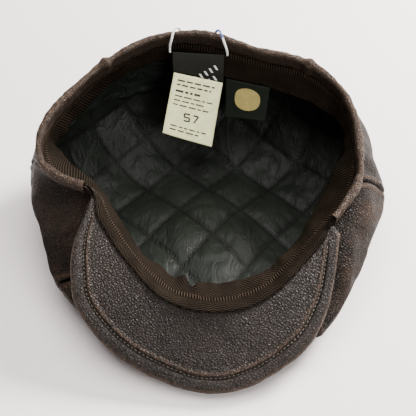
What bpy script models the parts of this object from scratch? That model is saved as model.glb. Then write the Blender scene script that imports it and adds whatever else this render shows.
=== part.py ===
"""Newsboy cap lying on its crown: eight leather panels, quilted lining, sweatband, visor and labels."""
import bpy
import math
from mathutils import Vector

MM = 0.001

# Head size (cm) and the visor's length at its middle (mm). The points below are those of size 57.
HEAD_SIZE = 57.0
DRAWN_SIZE = 57.0
FIT = HEAD_SIZE / DRAWN_SIZE
VISOR_LENGTH = 48.0
DRAWN_VISOR = 48.0

# Stations round the cap: angle, rim top, widest line of the crown, free edge of the sweatband (mm).
# The front is at -90, the right side at 0, the back at 90 and the left side at 180.
STATIONS = [
    (-90, (3, -86, 35), (0, -106, 9), (1, -62, 32)),
    (-67, (33, -79, 38), (36, -100, 12), (30, -57, 33)),
    (-45, (61, -54, 49), (64, -90, 19), (50, -40, 38)),
    (-30, (75, -36, 57), (84, -66, 26), (62, -22, 43)),
    (-15, (87, -21, 64), (98, -37, 33), (71, -4, 49)),
    (0, (93, -9, 69), (111, 6, 40), (79, 11, 55)),
    (14, (94, 9, 77), (109, 26, 43), (86, 22, 60)),
    (25, (91, 30, 87), (105, 46, 47), (86, 36, 64)),
    (36, (81, 48, 95), (97, 64, 50), (77, 49, 69)),
    (45, (63, 62, 101), (80, 84, 52), (60, 59, 72)),
    (67, (34, 70, 104), (42, 101, 54), (34, 69, 76)),
    (90, (-3, 81, 109), (0, 108, 55), (-2, 79, 80)),
    (112, (-35, 78, 108), (-42, 101, 54), (-34, 86, 83)),
    (135, (-64, 63, 101), (-80, 84, 52), (-64, 67, 76)),
    (150, (-82, 48, 94), (-97, 66, 49), (-82, 49, 68)),
    (165, (-99, 28, 86), (-108, 48, 45), (-95, 33, 60)),
    (174, (-105, 11, 78), (-112, 38, 43), (-94, 26, 58)),
    (181, (-101, -3, 72), (-114, 28, 42), (-87, 17, 57)),
    (189, (-88, -11, 68), (-112, 10, 41), (-76, 8, 53)),
    (198, (-71, -18, 65), (-108, -11, 38), (-67, 1, 50)),
    (208, (-64, -34, 58), (-101, -32, 34), (-59, -14, 46)),
    (225, (-48, -57, 48), (-90, -58, 26), (-44, -37, 38)),
    (247, (-25, -79, 38), (-50, -94, 13), (-22, -57, 34)),
]

# Front edge of the visor from its left end to its right end (mm).
VISOR_EDGE = [
    (-73, -29, 61), (-80, -52, 53), (-80, -73, 44), (-76, -86, 34), (-56, -105, 20), (-25, -120, 10),
    (3, -126, 7), (31, -119, 10), (57, -104, 20), (70, -85, 31), (76, -64, 43), (78, -45, 54),
]

# Added to every point, so that the origin is under the middle of the cap's length and width.
TO_MIDDLE = Vector((1.21, 8.485, 0))

# The cap is tipped forward, so the rim plane slopes down towards the visor.
RIM_SLOPE = 0.446
DOWN = Vector((0, RIM_SLOPE, -1)).normalized()

# GAP is the clearance between rigid layers, RIM_GAP between the layers sewn together at the rim.
GAP = 0.3
RIM_GAP = 0.5
LEATHER = 1.2
SEAM_GAP = 0.5
CROWN_CENTRE = Vector((0, -5, 0)) * FIT
# The crown's edge stands up for STAND below the rim and starts lower where the visor is sewn in.
STAND = 9.0
EDGE_BELOW_TOP = 1.2
EDGE_UNDER_VISOR = 8.0
# Sideways puff of the upper wall, and how much of it is lost along the visor.
WALL_PUFF = 0.5
WALL_PUFF_LOST = 0.38
# The flat crown dips up round the button, so that the cap stands clear of it.
BUTTON_HOLE = 4.0
DISH_RADIUS = 26.0
DISH_DEPTH = 5.5
BUTTON_RADIUS = 11.0
DISH_FLAT = BUTTON_RADIUS + 2.0
REST_RUN = 6.0

# Layers lie lower at the shoulder and turn tighter at the floor, in proportion to how deep they lie.
SHOULDER_DROP = 1.4
TURN_SHARE = 0.3
# Where the crown is widest high up, the inner layers are widest a little higher still.
WIDEST_LIFT = 0.2
LIFT_FROM = 28
LIFT_FULL = 40

LAYER_EASE = 0.2
LINING_BODY_INSET = 8.0
LINING_THICK = 0.6
LINING_RIM_INSET = LEATHER + RIM_GAP + LAYER_EASE
LINING_SPLIT = 1.96
LINING_LAST = 3.95
# The wadding fills this share of the room between the leather and the lining.
WADDING_FROM = 0.2
WADDING_TOP_FROM = 0.24
WADDING_TO = 0.8

SWEATBAND_RIM_INSET = LINING_RIM_INSET + LINING_THICK + RIM_GAP + LAYER_EASE
SWEATBAND_DRAWN_INSET = 3.2
SWEATBAND_THICK = 0.7
# Start of the ribbon below the rim and across it, at the bound edge and at the visor seam.
BAND_START_DOWN = 1.2
BAND_START_VISOR = 0.6
BAND_START_ACROSS = 1.2
BAND_SECOND_VISOR = 1.8
BAND_SECOND_ACROSS = 4.5
BINDING_THICK = 1.1
BINDING_LEG = 8.0

VISOR_START = 200
VISOR_END = 328
BINDING_START = -27
BINDING_END = 193.5
VISOR_ROLL = 2.6
VISOR_SEAM_OUT = 0.8
# Rows across the visor, measured back from its edge, and the length over which they are spread at its ends.
VISOR_ROWS = [30.0, 20.0, 12.0, 6.0]
VISOR_ROW_REACH = 40.0
VISOR_STEPS = 26
BOARD_INSET = VISOR_ROLL + GAP
# A measure back from the visor's edge that always reaches its seam.
TO_SEAM = 1000.0
# The seam's two ends, about which the visor flexes.
VISOR_HINGE = [(-70, -20, 64), (76, -33, 58)]

# Labels by their corners: top left, top right, bottom right, bottom left (mm).
BRAND_LABEL = [(-23, 76.4, 97.4), (10.5, 74.6, 96.2), (10.0, 73.0, 72.0), (-22.5, 73.8, 72.0)]
CARE_LABEL = [(-22, 72.2, 84.0), (9.6, 71.4, 76.0), (2.5, 54.4, 35.0), (-30, 55.6, 47.0)]
LEATHER_TAB = [(11.6, 72.6, 78.5), (40, 65.6, 76.5), (37.5, 61.8, 52.0), (11.2, 68.0, 49.5)]

LABEL_THICK = 0.5
TAB_THICK = 0.7

BUTTON_HEIGHT = 4.6
BUTTON_SKIN = 0.9
BUTTON_SHANK = 1.6
WASHER_RADIUS = 7.0
WASHER_THICK = 0.8

STRING_DIAMETER = 1.6
STRING_POINTS = 60
# Ticket string from both corners of the black label over the back rim and behind it (mm).
STRING_ROUTE = [
    (-24.4, 75.0, 98.4), (-24.4, 75.2, 102.0), (-24.0, 73.8, 106.0), (-23.0, 73.8, 110.0),
    (-22.0, 76.4, 113.0), (-20.5, 80.2, 113.4), (-19.0, 83.8, 111.2), (-17.5, 86.0, 107.0),
    (-15.5, 88.4, 102.0), (-12.0, 90.4, 98.6), (-7.0, 91.2, 97.4), (-2.0, 90.6, 97.8),
    (2.0, 88.4, 101.0), (4.5, 85.4, 106.0), (6.0, 82.4, 110.0), (7.4, 79.0, 112.2),
    (8.6, 75.2, 112.0), (10.0, 71.6, 109.2), (11.4, 70.8, 104.8), (12.2, 72.4, 100.6),
    (12.4, 73.6, 97.0),
]

# Columns are closer together round the two corners of the rim.
ANGLE_STEP = 9
CORNERS = [(-45, 45), (153, 216)]

UPPER_ROWS = [1.2, 1.4, 1.6, 1.8]
LOWER_ROWS = [2, 2.33, 2.66, 3, 3.5, 3.65, 3.8]

PANEL_NAMES = [
    "panel_side_front_right", "panel_side_back_right", "panel_back_right", "panel_back_left",
    "panel_side_back_left", "panel_side_front_left", "panel_front_left", "panel_front_right",
]
PANEL_STARTS = [-45, 0, 45, 90, 135, 180, 225, -90]


def clear_scene():
    for item in list(bpy.data.objects):
        bpy.data.objects.remove(item, do_unlink=True)


def material(name, color, rough=0.6, metal=0.0):
    mat = bpy.data.materials.new(name)
    mat.use_nodes = True
    shader = mat.node_tree.nodes["Principled BSDF"]
    shader.inputs["Base Color"].default_value = (*color, 1.0)
    shader.inputs["Roughness"].default_value = rough
    shader.inputs["Metallic"].default_value = metal
    mat.diffuse_color = (*color, 1.0)
    return mat


def smooth_step(value, low, high):
    u = min(max((value - low) / (high - low), 0.0), 1.0)
    return u * u * (3 - 2 * u)


def hermite(p0, p1, m0, m1, u):
    a = 2 * u ** 3 - 3 * u ** 2 + 1
    b = u ** 3 - 2 * u ** 2 + u
    c = -2 * u ** 3 + 3 * u ** 2
    d = u ** 3 - u ** 2
    return p0 * a + m0 * b + p1 * c + m1 * d


def station(angle, column):
    """Point of one of the closed station curves at an angle, on a smooth curve through the stations."""
    count = len(STATIONS)
    first = STATIONS[0][0]
    angle = (angle - first) % 360 + first
    i = max(k for k in range(count) if STATIONS[k][0] <= angle)

    def at(k):
        turns, k = divmod(k, count)
        return STATIONS[k][0] + 360 * turns, Vector(STATIONS[k][column])

    (a0, p0), (a1, p1), (a2, p2), (a3, p3) = at(i - 1), at(i), at(i + 1), at(i + 2)
    span = a2 - a1
    m1 = (p2 - p0) / (a2 - a0) * span
    m2 = (p3 - p1) / (a3 - a1) * span
    return hermite(p1, p2, m1, m2, (angle - a1) / span) * FIT


def open_curve(points, u):
    """Point at u from 0 to 1 on a smooth open curve through the given points."""
    last = len(points) - 1
    i = min(int(u * last), last - 1)
    p = [Vector(q) * FIT for q in points]
    before = p[i - 1] if i > 0 else p[0] * 2 - p[1]
    after = p[i + 2] if i + 2 <= last else p[last] * 2 - p[last - 1]
    m0 = (p[i + 1] - before) / 2
    m1 = (after - p[i]) / 2
    return hermite(p[i], p[i + 1], m0, m1, u * last - i)


def front_share(angle):
    """1 along the visor, 0 along the bound rim."""
    turned = (angle + 90) % 360
    if turned > 180:
        turned = turned - 360
    left = 270 - VISOR_START
    right = VISOR_END - 270
    if turned < 0:
        return 1 - smooth_step(-turned, left - 6, left + 4)
    return 1 - smooth_step(turned, right - 6, right + 4)


def rim_frame(angle):
    """Rim point and its outward direction across the rim."""
    step = 1.0
    along = station(angle + step, 1) - station(angle - step, 1)
    return station(angle, 1), along.cross(-DOWN).normalized()


def bulge(angle):
    """How far the crown's upper wall puffs out: little under the visor, more at the sides and back."""
    return WALL_PUFF - WALL_PUFF_LOST * front_share(angle)


def dish(r):
    return DISH_DEPTH * (1 - smooth_step(r, DISH_FLAT, DISH_RADIUS))


def bowl(angle, t, rim_inset, body_inset):
    """Crown layer: t 0..1 upright edge, 1..2 upper wall, 2..3 lower wall, 3..4 flat crown."""
    top, out = rim_frame(angle)
    share = front_share(angle)
    start = EDGE_BELOW_TOP + (EDGE_UNDER_VISOR - EDGE_BELOW_TOP) * math.sqrt(share)
    if t <= 1:
        return top + DOWN * (start + (STAND - start) * t) - out * rim_inset
    shoulder = top + DOWN * (STAND + SHOULDER_DROP * max(rim_inset - LEATHER, 0)) - out * rim_inset
    equator = station(angle, 2)
    inward = CROWN_CENTRE - equator
    inward.z = 0
    reach = inward.length
    inward.normalize()
    lift = WIDEST_LIFT * body_inset * smooth_step(equator.z, LIFT_FROM, LIFT_FULL)
    wide = equator + inward * body_inset + Vector((0, 0, lift))
    if t <= 2:
        u = t - 1
        b = bulge(angle)
        across = (1 - b) * u + b * math.sin(u * math.pi / 2)
        down = (1 - b) * u + b * (1 - math.cos(u * math.pi / 2))
        point = shoulder + (wide - shoulder) * across
        point.z = shoulder.z + (wide.z - shoulder.z) * down
        return point
    run = equator.z + REST_RUN - (1 - TURN_SHARE) * body_inset
    height = wide.z - body_inset
    if t <= 3:
        u = (t - 2) * math.pi / 2
        point = wide + inward * (run * (1 - math.cos(u)))
        point.z = wide.z - height * math.sin(u)
        return point
    far = reach - body_inset - run
    if t <= 3.5:
        r = far + (DISH_RADIUS - far) * (t - 3) * 2
    else:
        r = DISH_RADIUS + (BUTTON_HOLE - DISH_RADIUS) * (t - 3.5) * 2
    return CROWN_CENTRE - inward * r + Vector((0, 0, body_inset + dish(r)))


def solid(name, verts, faces, mat, smooth=True):
    mesh = bpy.data.meshes.new(name)
    mesh.from_pydata([(Vector(v) + TO_MIDDLE) * MM for v in verts], [], faces)
    mesh.materials.append(mat)
    if smooth:
        mesh.polygons.foreach_set("use_smooth", [True] * len(mesh.polygons))
    mesh.update()
    obj = bpy.data.objects.new(name, mesh)
    bpy.context.scene.collection.objects.link(obj)
    return obj


def signed_volume(verts, faces):
    total = 0.0
    for face in faces:
        a = Vector(verts[face[0]])
        for k in range(1, len(face) - 1):
            total += a.dot(Vector(verts[face[k]]).cross(Vector(verts[face[k + 1]])))
    return total


def sheet(name, outer, inner, mat, closed=False, smooth=True):
    """Closed body between two matching grids of points; closed rings join the last column to the first."""
    rows = len(outer)
    cols = len(outer[0])
    verts = [p for row in outer for p in row] + [p for row in inner for p in row]
    half = rows * cols
    faces = []
    last = cols if closed else cols - 1
    for i in range(rows - 1):
        for j in range(last):
            k = (j + 1) % cols
            a, b, c, d = i * cols + j, i * cols + k, (i + 1) * cols + k, (i + 1) * cols + j
            faces.append((a, b, c, d))
            faces.append((d + half, c + half, b + half, a + half))
    for j in range(last):
        k = (j + 1) % cols
        e = (rows - 1) * cols
        faces.append((k, j, j + half, k + half))
        faces.append((e + j, e + k, e + k + half, e + j + half))
    if not closed:
        for i in range(rows - 1):
            a, b = i * cols, (i + 1) * cols
            c, d = a + cols - 1, b + cols - 1
            faces.append((a, b, b + half, a + half))
            faces.append((d, c, c + half, d + half))
    if signed_volume(verts, faces) < 0:
        faces = [tuple(reversed(f)) for f in faces]
    return solid(name, verts, faces, mat, smooth)


def block_box(name, corners, depth, mat):
    """Thin flat label from four corners, thickened along its own face."""
    tl, tr, br, bl = [Vector(c) * FIT for c in corners]
    face = (tr - tl).cross(bl - tl).normalized()
    outer = [[tl, tr], [bl, br]]
    inner = [[p + face * depth for p in row] for row in outer]
    return sheet(name, outer, inner, mat, smooth=False)


def angles_between(start, end):
    """Column angles from start to end, every half step inside the rim corners."""
    half = ANGLE_STEP / 2
    found = []
    for k in range(math.ceil(start / half), math.floor(end / half) + 1):
        angle = k * half
        whole = k % 2 == 0
        if whole or any(low < angle < high for low, high in CORNERS):
            found.append(angle)
    return found


def seam_pace(angle, t):
    """Distance straight across a seam for each degree of turn."""
    across = bowl(angle + 0.5, t, 0, 0) - bowl(angle - 0.5, t, 0, 0)
    along = (bowl(angle, t + 0.02, 0, 0) - bowl(angle, t - 0.02, 0, 0)).normalized()
    return (across - along * across.dot(along)).length


def crown_panels(leather):
    rows = [0, 1] + UPPER_ROWS + LOWER_ROWS + [4]
    for name, start in zip(PANEL_NAMES, PANEL_STARTS):
        outer = []
        inner = []
        for t in rows:
            low = start + 0.5 * SEAM_GAP / seam_pace(start, t)
            high = start + 45 - 0.5 * SEAM_GAP / seam_pace(start + 45, t)
            angles = [low] + angles_between(start + 1, start + 44) + [high]
            outer.append([bowl(a, t, 0, 0) for a in angles])
            inner.append([bowl(a, t, LEATHER, LEATHER) for a in angles])
        sheet(name, outer, inner, leather)


def ring_sheet(name, rows, outer_insets, inner_insets, mat):
    angles = angles_between(-90, 269)
    outer = [[bowl(a, t, *outer_insets) for a in angles] for t in rows]
    inner = [[bowl(a, t, *inner_insets) for a in angles] for t in rows]
    return sheet(name, outer, inner, mat, closed=True)


def lining(side_mat, top_mat):
    outer = (LINING_RIM_INSET, LINING_BODY_INSET)
    inner = (LINING_RIM_INSET + LINING_THICK, LINING_BODY_INSET + LINING_THICK)
    ring_sheet("lining_side", [0, 1] + UPPER_ROWS + [LINING_SPLIT], outer, inner, side_mat)
    top_rows = LOWER_ROWS + [LINING_LAST]
    angles = angles_between(-90, 269)
    low = [[bowl(a, t, *outer) for a in angles] for t in top_rows]
    high = [[bowl(a, t, *inner) for a in angles] for t in top_rows]
    closed_disc("lining_top", low, high, top_mat)


def closed_disc(name, low, high, mat):
    """Body between two dished grids whose last rows are filled in at the middle."""
    rows = len(low)
    cols = len(low[0])
    half = rows * cols
    verts = [p for row in low for p in row] + [p for row in high for p in row]
    middle_low = sum(low[-1], Vector()) / cols
    middle_high = sum(high[-1], Vector()) / cols
    verts = verts + [middle_low, middle_high]
    faces = []
    for i in range(rows - 1):
        for j in range(cols):
            k = (j + 1) % cols
            a, b, c, d = i * cols + j, i * cols + k, (i + 1) * cols + k, (i + 1) * cols + j
            faces.append((a, b, c, d))
            faces.append((d + half, c + half, b + half, a + half))
    end = (rows - 1) * cols
    for j in range(cols):
        k = (j + 1) % cols
        faces.append((k, j, j + half, k + half))
        faces.append((end + j, end + k, 2 * half))
        faces.append((end + k + half, end + j + half, 2 * half + 1))
    if signed_volume(verts, faces) < 0:
        faces = [tuple(reversed(f)) for f in faces]
    return solid(name, verts, faces, mat)


def wadding(mat):
    def layer(angle, t, share):
        leather = bowl(angle, t, LEATHER, LEATHER)
        satin = bowl(angle, t, LINING_RIM_INSET, LINING_BODY_INSET)
        return leather + (satin - leather) * share

    angles = angles_between(-90, 269)
    side_rows = UPPER_ROWS[1:] + [LINING_SPLIT]
    outer = [[layer(a, t, WADDING_FROM) for a in angles] for t in side_rows]
    inner = [[layer(a, t, WADDING_TO) for a in angles] for t in side_rows]
    sheet("wadding_side", outer, inner, mat, closed=True)
    top_rows = LOWER_ROWS + [LINING_LAST]
    low = [[layer(a, t, WADDING_TOP_FROM) for a in angles] for t in top_rows]
    high = [[layer(a, t, WADDING_TO) for a in angles] for t in top_rows]
    closed_disc("wadding_top", low, high, mat)


def sweatband(mat):
    """Ribbon that starts inside the bound edge, or on the visor seam, and leans into the cap."""
    def surface(angle, row):
        top, out = rim_frame(angle)
        share = front_share(angle)
        middle = SWEATBAND_RIM_INSET + 0.5 * SWEATBAND_THICK
        drop = BAND_START_DOWN + (BAND_START_VISOR - BAND_START_DOWN) * share
        across = middle + (BAND_START_ACROSS - middle) * share
        first = top + DOWN * drop - out * across
        drop = STAND + (BAND_SECOND_VISOR - STAND) * share
        across = middle + (BAND_SECOND_ACROSS - middle) * share
        second = top + DOWN * drop - out * across
        edge = station(angle, 3) - out * (SWEATBAND_RIM_INSET - SWEATBAND_DRAWN_INSET)
        if row == 0:
            return first
        return second + (edge - second) * (row - 1) / 3

    angles = angles_between(-90, 269)
    outer = []
    inner = []
    for row in range(5):
        ring_out = []
        ring_in = []
        for a in angles:
            along = surface(a + 1, row) - surface(a - 1, row)
            low = max(row - 1, 0)
            high = min(row + 1, 4)
            down = surface(a, high) - surface(a, low)
            face = along.cross(down).normalized()
            ring_out.append(surface(a, row) - face * 0.5 * SWEATBAND_THICK)
            ring_in.append(surface(a, row) + face * 0.5 * SWEATBAND_THICK)
        outer.append(ring_out)
        inner.append(ring_in)
    sheet("sweatband", outer, inner, mat, closed=True)


def binding(mat):
    """Leather folded over the rim from one end of the visor round the back to the other."""
    outside = RIM_GAP
    inside = SWEATBAND_RIM_INSET + SWEATBAND_THICK + RIM_GAP
    middle = 0.5 * (outside - inside)
    radius = 0.5 * (outside + inside)
    arc = [math.pi * k / 5 for k in range(6)]

    def section(angle, r):
        top, out = rim_frame(angle)
        across = [(middle + r, -BINDING_LEG)]
        across += [(middle + r * math.cos(w), r * math.sin(w)) for w in arc]
        across += [(middle - r, -BINDING_LEG)]
        return [top + out * x - DOWN * z for x, z in across]

    angles = angles_between(BINDING_START, BINDING_END)
    outer = [section(a, radius + BINDING_THICK) for a in angles]
    inner = [section(a, radius) for a in angles]
    sheet("rim_binding", outer, inner, mat)


def visor_point(u, inset, depth):
    """Point of the visor: u runs along it, inset is measured back from its edge, depth down through it."""
    def flat(v, back):
        top, out = rim_frame(VISOR_START + (VISOR_END - VISOR_START) * v)
        seam = top + out * VISOR_SEAM_OUT
        stretch = 1 + (VISOR_LENGTH / DRAWN_VISOR - 1) * math.sin(math.pi * v)
        edge = seam + (open_curve(VISOR_EDGE, v) - seam) * stretch
        length = (edge - seam).length
        return edge + (seam - edge) * min(back / length, 1.0)

    def clamp(v):
        return min(max(v, 0.0), 1.0)

    base = flat(u, inset)
    along = flat(clamp(u + 0.01), inset) - flat(clamp(u - 0.01), inset)
    back = flat(u, TO_SEAM) - flat(u, 0.0)
    face = along.cross(back).normalized()
    return base - face * depth


def visor(leather, board):
    """Upper and lower leather that meet in a rolled edge, with the board between them."""
    total = 2 * VISOR_ROLL
    backs = [TO_SEAM] + VISOR_ROWS
    columns = [k / VISOR_STEPS for k in range(VISOR_STEPS + 1)]
    turn = [math.radians(d) for d in (0, 28, 56, 83)]

    def clipped(u, back):
        seam = visor_point(u, TO_SEAM, 0)
        edge = visor_point(u, 0, 0)
        length = (edge - seam).length
        if back == TO_SEAM:
            return TO_SEAM
        return min(back, (length - VISOR_ROLL) * back / VISOR_ROW_REACH + VISOR_ROLL)

    def skin(name, flip):
        faces = []
        for radius in (VISOR_ROLL, VISOR_ROLL - LEATHER):
            grid = []
            drop = VISOR_ROLL - radius
            for back in backs:
                grid.append([(u, clipped(u, back), drop) for u in columns])
            for w in turn:
                e = VISOR_ROLL - radius * math.sin(w)
                h = VISOR_ROLL - radius * math.cos(w)
                grid.append([(u, e, h) for u in columns])
            faces.append([[visor_point(u, e, total - h if flip else h) for u, e, h in row] for row in grid])
        set_origin(sheet(name, faces[0], faces[1], leather), VISOR_HINGE)

    skin("visor_underside", False)
    skin("visor_top", True)
    low = LEATHER + 2 * GAP
    high = total - low
    upper = [[visor_point(u, clipped(u, b), low) for u in columns] for b in backs]
    upper.append([visor_point(u, BOARD_INSET, low) for u in columns])
    lower = [[visor_point(u, clipped(u, b), high) for u in columns] for b in backs]
    lower.append([visor_point(u, BOARD_INSET, high) for u in columns])
    set_origin(sheet("visor_board", upper, lower, board), VISOR_HINGE)


def lathe(name, profile, mat, sides=24):
    """Closed round body about the crown's middle from a profile of radius and height, ends on the axis."""
    verts = [CROWN_CENTRE + Vector((0, 0, profile[0][1]))]
    for r, z in profile[1:-1]:
        for k in range(sides):
            w = 2 * math.pi * k / sides
            verts.append(CROWN_CENTRE + Vector((r * math.cos(w), r * math.sin(w), z)))
    verts.append(CROWN_CENTRE + Vector((0, 0, profile[-1][1])))
    faces = []
    rings = len(profile) - 2
    for k in range(sides):
        n = (k + 1) % sides
        faces.append((0, 1 + k, 1 + n))
        for i in range(rings - 1):
            a = 1 + i * sides
            faces.append((a + k, a + sides + k, a + sides + n, a + n))
        a = 1 + (rings - 1) * sides
        faces.append((a + n, a + k, len(verts) - 1))
    if signed_volume(verts, faces) < 0:
        faces = [tuple(reversed(f)) for f in faces]
    return solid(name, verts, faces, mat)


def button(leather, metal):
    """Leather button under the crown's middle, its metal core and the washer that clenches it."""
    face = DISH_DEPTH - GAP
    bottom = face - BUTTON_HEIGHT
    dome = [math.radians(d) for d in (0, 30, 60, 85)]
    outer = [(BUTTON_RADIUS * math.sin(w), face - BUTTON_HEIGHT * math.cos(w)) for w in dome]
    core_r = BUTTON_RADIUS - BUTTON_SKIN - GAP
    core_h = BUTTON_HEIGHT - BUTTON_SKIN - GAP
    inner_r = BUTTON_RADIUS - BUTTON_SKIN
    inner_h = BUTTON_HEIGHT - BUTTON_SKIN
    inner = [(inner_r * math.sin(w), face - inner_h * math.cos(w)) for w in dome]
    cover = [(0, bottom)] + outer[1:] + [(BUTTON_RADIUS, face)]
    cover += [(inner_r, face)] + list(reversed(inner[1:])) + [(0, face - inner_h)]
    lathe("button_cover", cover, leather)
    core = [(core_r * math.sin(w), face - core_h * math.cos(w)) for w in dome]
    shank_top = DISH_DEPTH + LEATHER + GAP + WASHER_THICK + 0.15
    profile = [(0, face - core_h)] + core[1:] + [(core_r, face), (BUTTON_SHANK, face)]
    profile += [(BUTTON_SHANK, shank_top), (0, shank_top)]
    lathe("button_core", profile, metal)
    low = DISH_DEPTH + LEATHER + GAP
    ring("button_washer", BUTTON_SHANK + GAP, WASHER_RADIUS, low, low + WASHER_THICK, metal)


def ring(name, inner_r, outer_r, low, high, mat, sides=24):
    angles = [2 * math.pi * k / sides for k in range(sides)]

    def circle(r, z):
        return [CROWN_CENTRE + Vector((r * math.cos(w), r * math.sin(w), z)) for w in angles]

    outer = [circle(inner_r, low), circle(outer_r, low)]
    inner = [circle(inner_r, high), circle(outer_r, high)]
    return sheet(name, outer, inner, mat, closed=True)


def set_origin(obj, edge):
    """Move a piece's origin to the middle of the edge about which it turns."""
    start, end = [Vector(p) * FIT for p in edge]
    pivot = ((start + end) * 0.5 + TO_MIDDLE) * MM
    for vertex in obj.data.vertices:
        vertex.co -= pivot
    obj.location = pivot
    obj.data.update()


def labels(black, cream, green):
    for name, corners, depth, mat in (
        ("brand_label", BRAND_LABEL, LABEL_THICK, black),
        ("care_label", CARE_LABEL, LABEL_THICK, cream),
        ("leather_tab", LEATHER_TAB, TAB_THICK, green),
    ):
        set_origin(block_box(name, corners, depth, mat), corners[:2])


def swing_string(mat):
    curve = bpy.data.curves.new("ticket_string", "CURVE")
    curve.dimensions = "3D"
    spline = curve.splines.new("POLY")
    spline.points.add(STRING_POINTS - 1)
    for k in range(STRING_POINTS):
        p = (open_curve(STRING_ROUTE, k / (STRING_POINTS - 1)) + TO_MIDDLE) * MM
        spline.points[k].co = (p.x, p.y, p.z, 1.0)
    curve.bevel_depth = 0.5 * STRING_DIAMETER * MM
    curve.bevel_resolution = 2
    curve.resolution_u = 1
    curve.render_resolution_u = 0
    curve.use_fill_caps = True
    curve.materials.append(mat)
    obj = bpy.data.objects.new("ticket_string", curve)
    bpy.context.scene.collection.objects.link(obj)


def build():
    clear_scene()
    leather = material("brown_leather", (0.085, 0.055, 0.038), 0.55)
    under = material("visor_leather", (0.075, 0.052, 0.04), 0.55)
    roll = material("rim_leather", (0.11, 0.072, 0.048), 0.5)
    side = material("lining_side_satin", (0.018, 0.024, 0.022), 0.35)
    top = material("quilted_satin", (0.018, 0.024, 0.022), 0.35)
    wad = material("wadding", (0.75, 0.74, 0.7), 0.95)
    ribbon = material("herringbone_ribbon", (0.12, 0.09, 0.065), 0.8)
    board = material("visor_board", (0.08, 0.08, 0.085), 0.7)
    metal = material("button_metal", (0.6, 0.6, 0.58), 0.35, 1.0)
    black = material("black_label", (0.012, 0.013, 0.013), 0.4)
    cream = material("care_label", (0.82, 0.8, 0.6), 0.6)
    green = material("tab_satin", (0.02, 0.028, 0.025), 0.4)
    cotton = material("string_cotton", (0.75, 0.75, 0.74), 0.85)
    crown_panels(leather)
    lining(side, top)
    wadding(wad)
    sweatband(ribbon)
    binding(roll)
    visor(under, board)
    button(leather, metal)
    labels(black, cream, green)
    swing_string(cotton)


build()
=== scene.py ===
"""Newsboy cap lying on its crown: leather panels, bound rim, ribbon sweatband, quilted satin and labels."""
import math
import random
import bpy
import bmesh
import numpy as np
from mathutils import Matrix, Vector, noise


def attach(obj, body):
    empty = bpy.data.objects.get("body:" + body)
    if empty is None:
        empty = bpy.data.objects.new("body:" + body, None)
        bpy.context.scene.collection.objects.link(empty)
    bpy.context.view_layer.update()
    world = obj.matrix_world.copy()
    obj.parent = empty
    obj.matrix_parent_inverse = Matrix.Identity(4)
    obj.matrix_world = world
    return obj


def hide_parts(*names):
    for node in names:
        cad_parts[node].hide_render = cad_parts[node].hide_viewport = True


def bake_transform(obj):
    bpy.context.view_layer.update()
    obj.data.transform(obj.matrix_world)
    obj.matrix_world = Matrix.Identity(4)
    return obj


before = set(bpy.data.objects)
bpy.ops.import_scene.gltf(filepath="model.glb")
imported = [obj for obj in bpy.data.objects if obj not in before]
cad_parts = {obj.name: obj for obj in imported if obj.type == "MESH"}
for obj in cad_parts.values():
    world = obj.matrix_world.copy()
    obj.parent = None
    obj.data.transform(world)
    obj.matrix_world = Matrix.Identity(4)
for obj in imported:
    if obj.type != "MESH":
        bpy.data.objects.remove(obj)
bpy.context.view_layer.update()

MM = 0.001
# Added to every point, so that the origin is under the middle of the cap's length and width (mm).
TO_MIDDLE = (1.21, 8.485, 0)


def add_object(name, data):
    obj = bpy.data.objects.new(name, data)
    bpy.context.scene.collection.objects.link(obj)
    return obj


# ---------------------------------------------------------------- camera
AIM = (0, -15, 47.3)
DISTANCE = 720.0
TILT = 45
LENS = 101.0
SENSOR = 36
NEAREST_SEEN = 0.01


def make_camera():
    """Camera in front of the visor, looking down into the open cap."""
    data = bpy.data.cameras.new("camera")
    data.lens = LENS
    data.sensor_width = SENSOR
    data.clip_start = NEAREST_SEEN
    camera = add_object("camera", data)
    tilt = math.radians(TILT)
    back = Vector((0, -math.sin(tilt), math.cos(tilt))) * DISTANCE
    camera.location = (Vector(AIM) + Vector(TO_MIDDLE) + back) * MM
    camera.rotation_euler = (tilt, 0, 0)
    bpy.context.scene.camera = camera


make_camera()

# ---------------------------------------------------------------- shape of the cap
# angle, rim top, widest line of the crown, free edge of the sweatband (mm); front at -90, back at 90
STATIONS = [
    (-90, (3, -86, 35), (0, -106, 9), (1, -62, 32)),
    (-67, (33, -79, 38), (36, -100, 12), (30, -57, 33)),
    (-45, (61, -54, 49), (64, -90, 19), (50, -40, 38)),
    (-30, (75, -36, 57), (84, -66, 26), (62, -22, 43)),
    (-15, (87, -21, 64), (98, -37, 33), (71, -4, 49)),
    (0, (93, -9, 69), (111, 6, 40), (79, 11, 55)),
    (14, (94, 9, 77), (109, 26, 43), (86, 22, 60)),
    (25, (91, 30, 87), (105, 46, 47), (86, 36, 64)),
    (36, (81, 48, 95), (97, 64, 50), (77, 49, 69)),
    (45, (63, 62, 101), (80, 84, 52), (60, 59, 72)),
    (67, (34, 70, 104), (42, 101, 54), (34, 69, 76)),
    (90, (-3, 81, 109), (0, 108, 55), (-2, 79, 80)),
    (112, (-35, 78, 108), (-42, 101, 54), (-34, 86, 83)),
    (135, (-64, 63, 101), (-80, 84, 52), (-64, 67, 76)),
    (150, (-82, 48, 94), (-97, 66, 49), (-82, 49, 68)),
    (165, (-99, 28, 86), (-108, 48, 45), (-95, 33, 60)),
    (174, (-105, 11, 78), (-112, 38, 43), (-94, 26, 58)),
    (181, (-101, -3, 72), (-114, 28, 42), (-87, 17, 57)),
    (189, (-88, -11, 68), (-112, 10, 41), (-76, 8, 53)),
    (198, (-71, -18, 65), (-108, -11, 38), (-67, 1, 50)),
    (208, (-64, -34, 58), (-101, -32, 34), (-59, -14, 46)),
    (225, (-48, -57, 48), (-90, -58, 26), (-44, -37, 38)),
    (247, (-25, -79, 38), (-50, -94, 13), (-22, -57, 34)),
]
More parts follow.
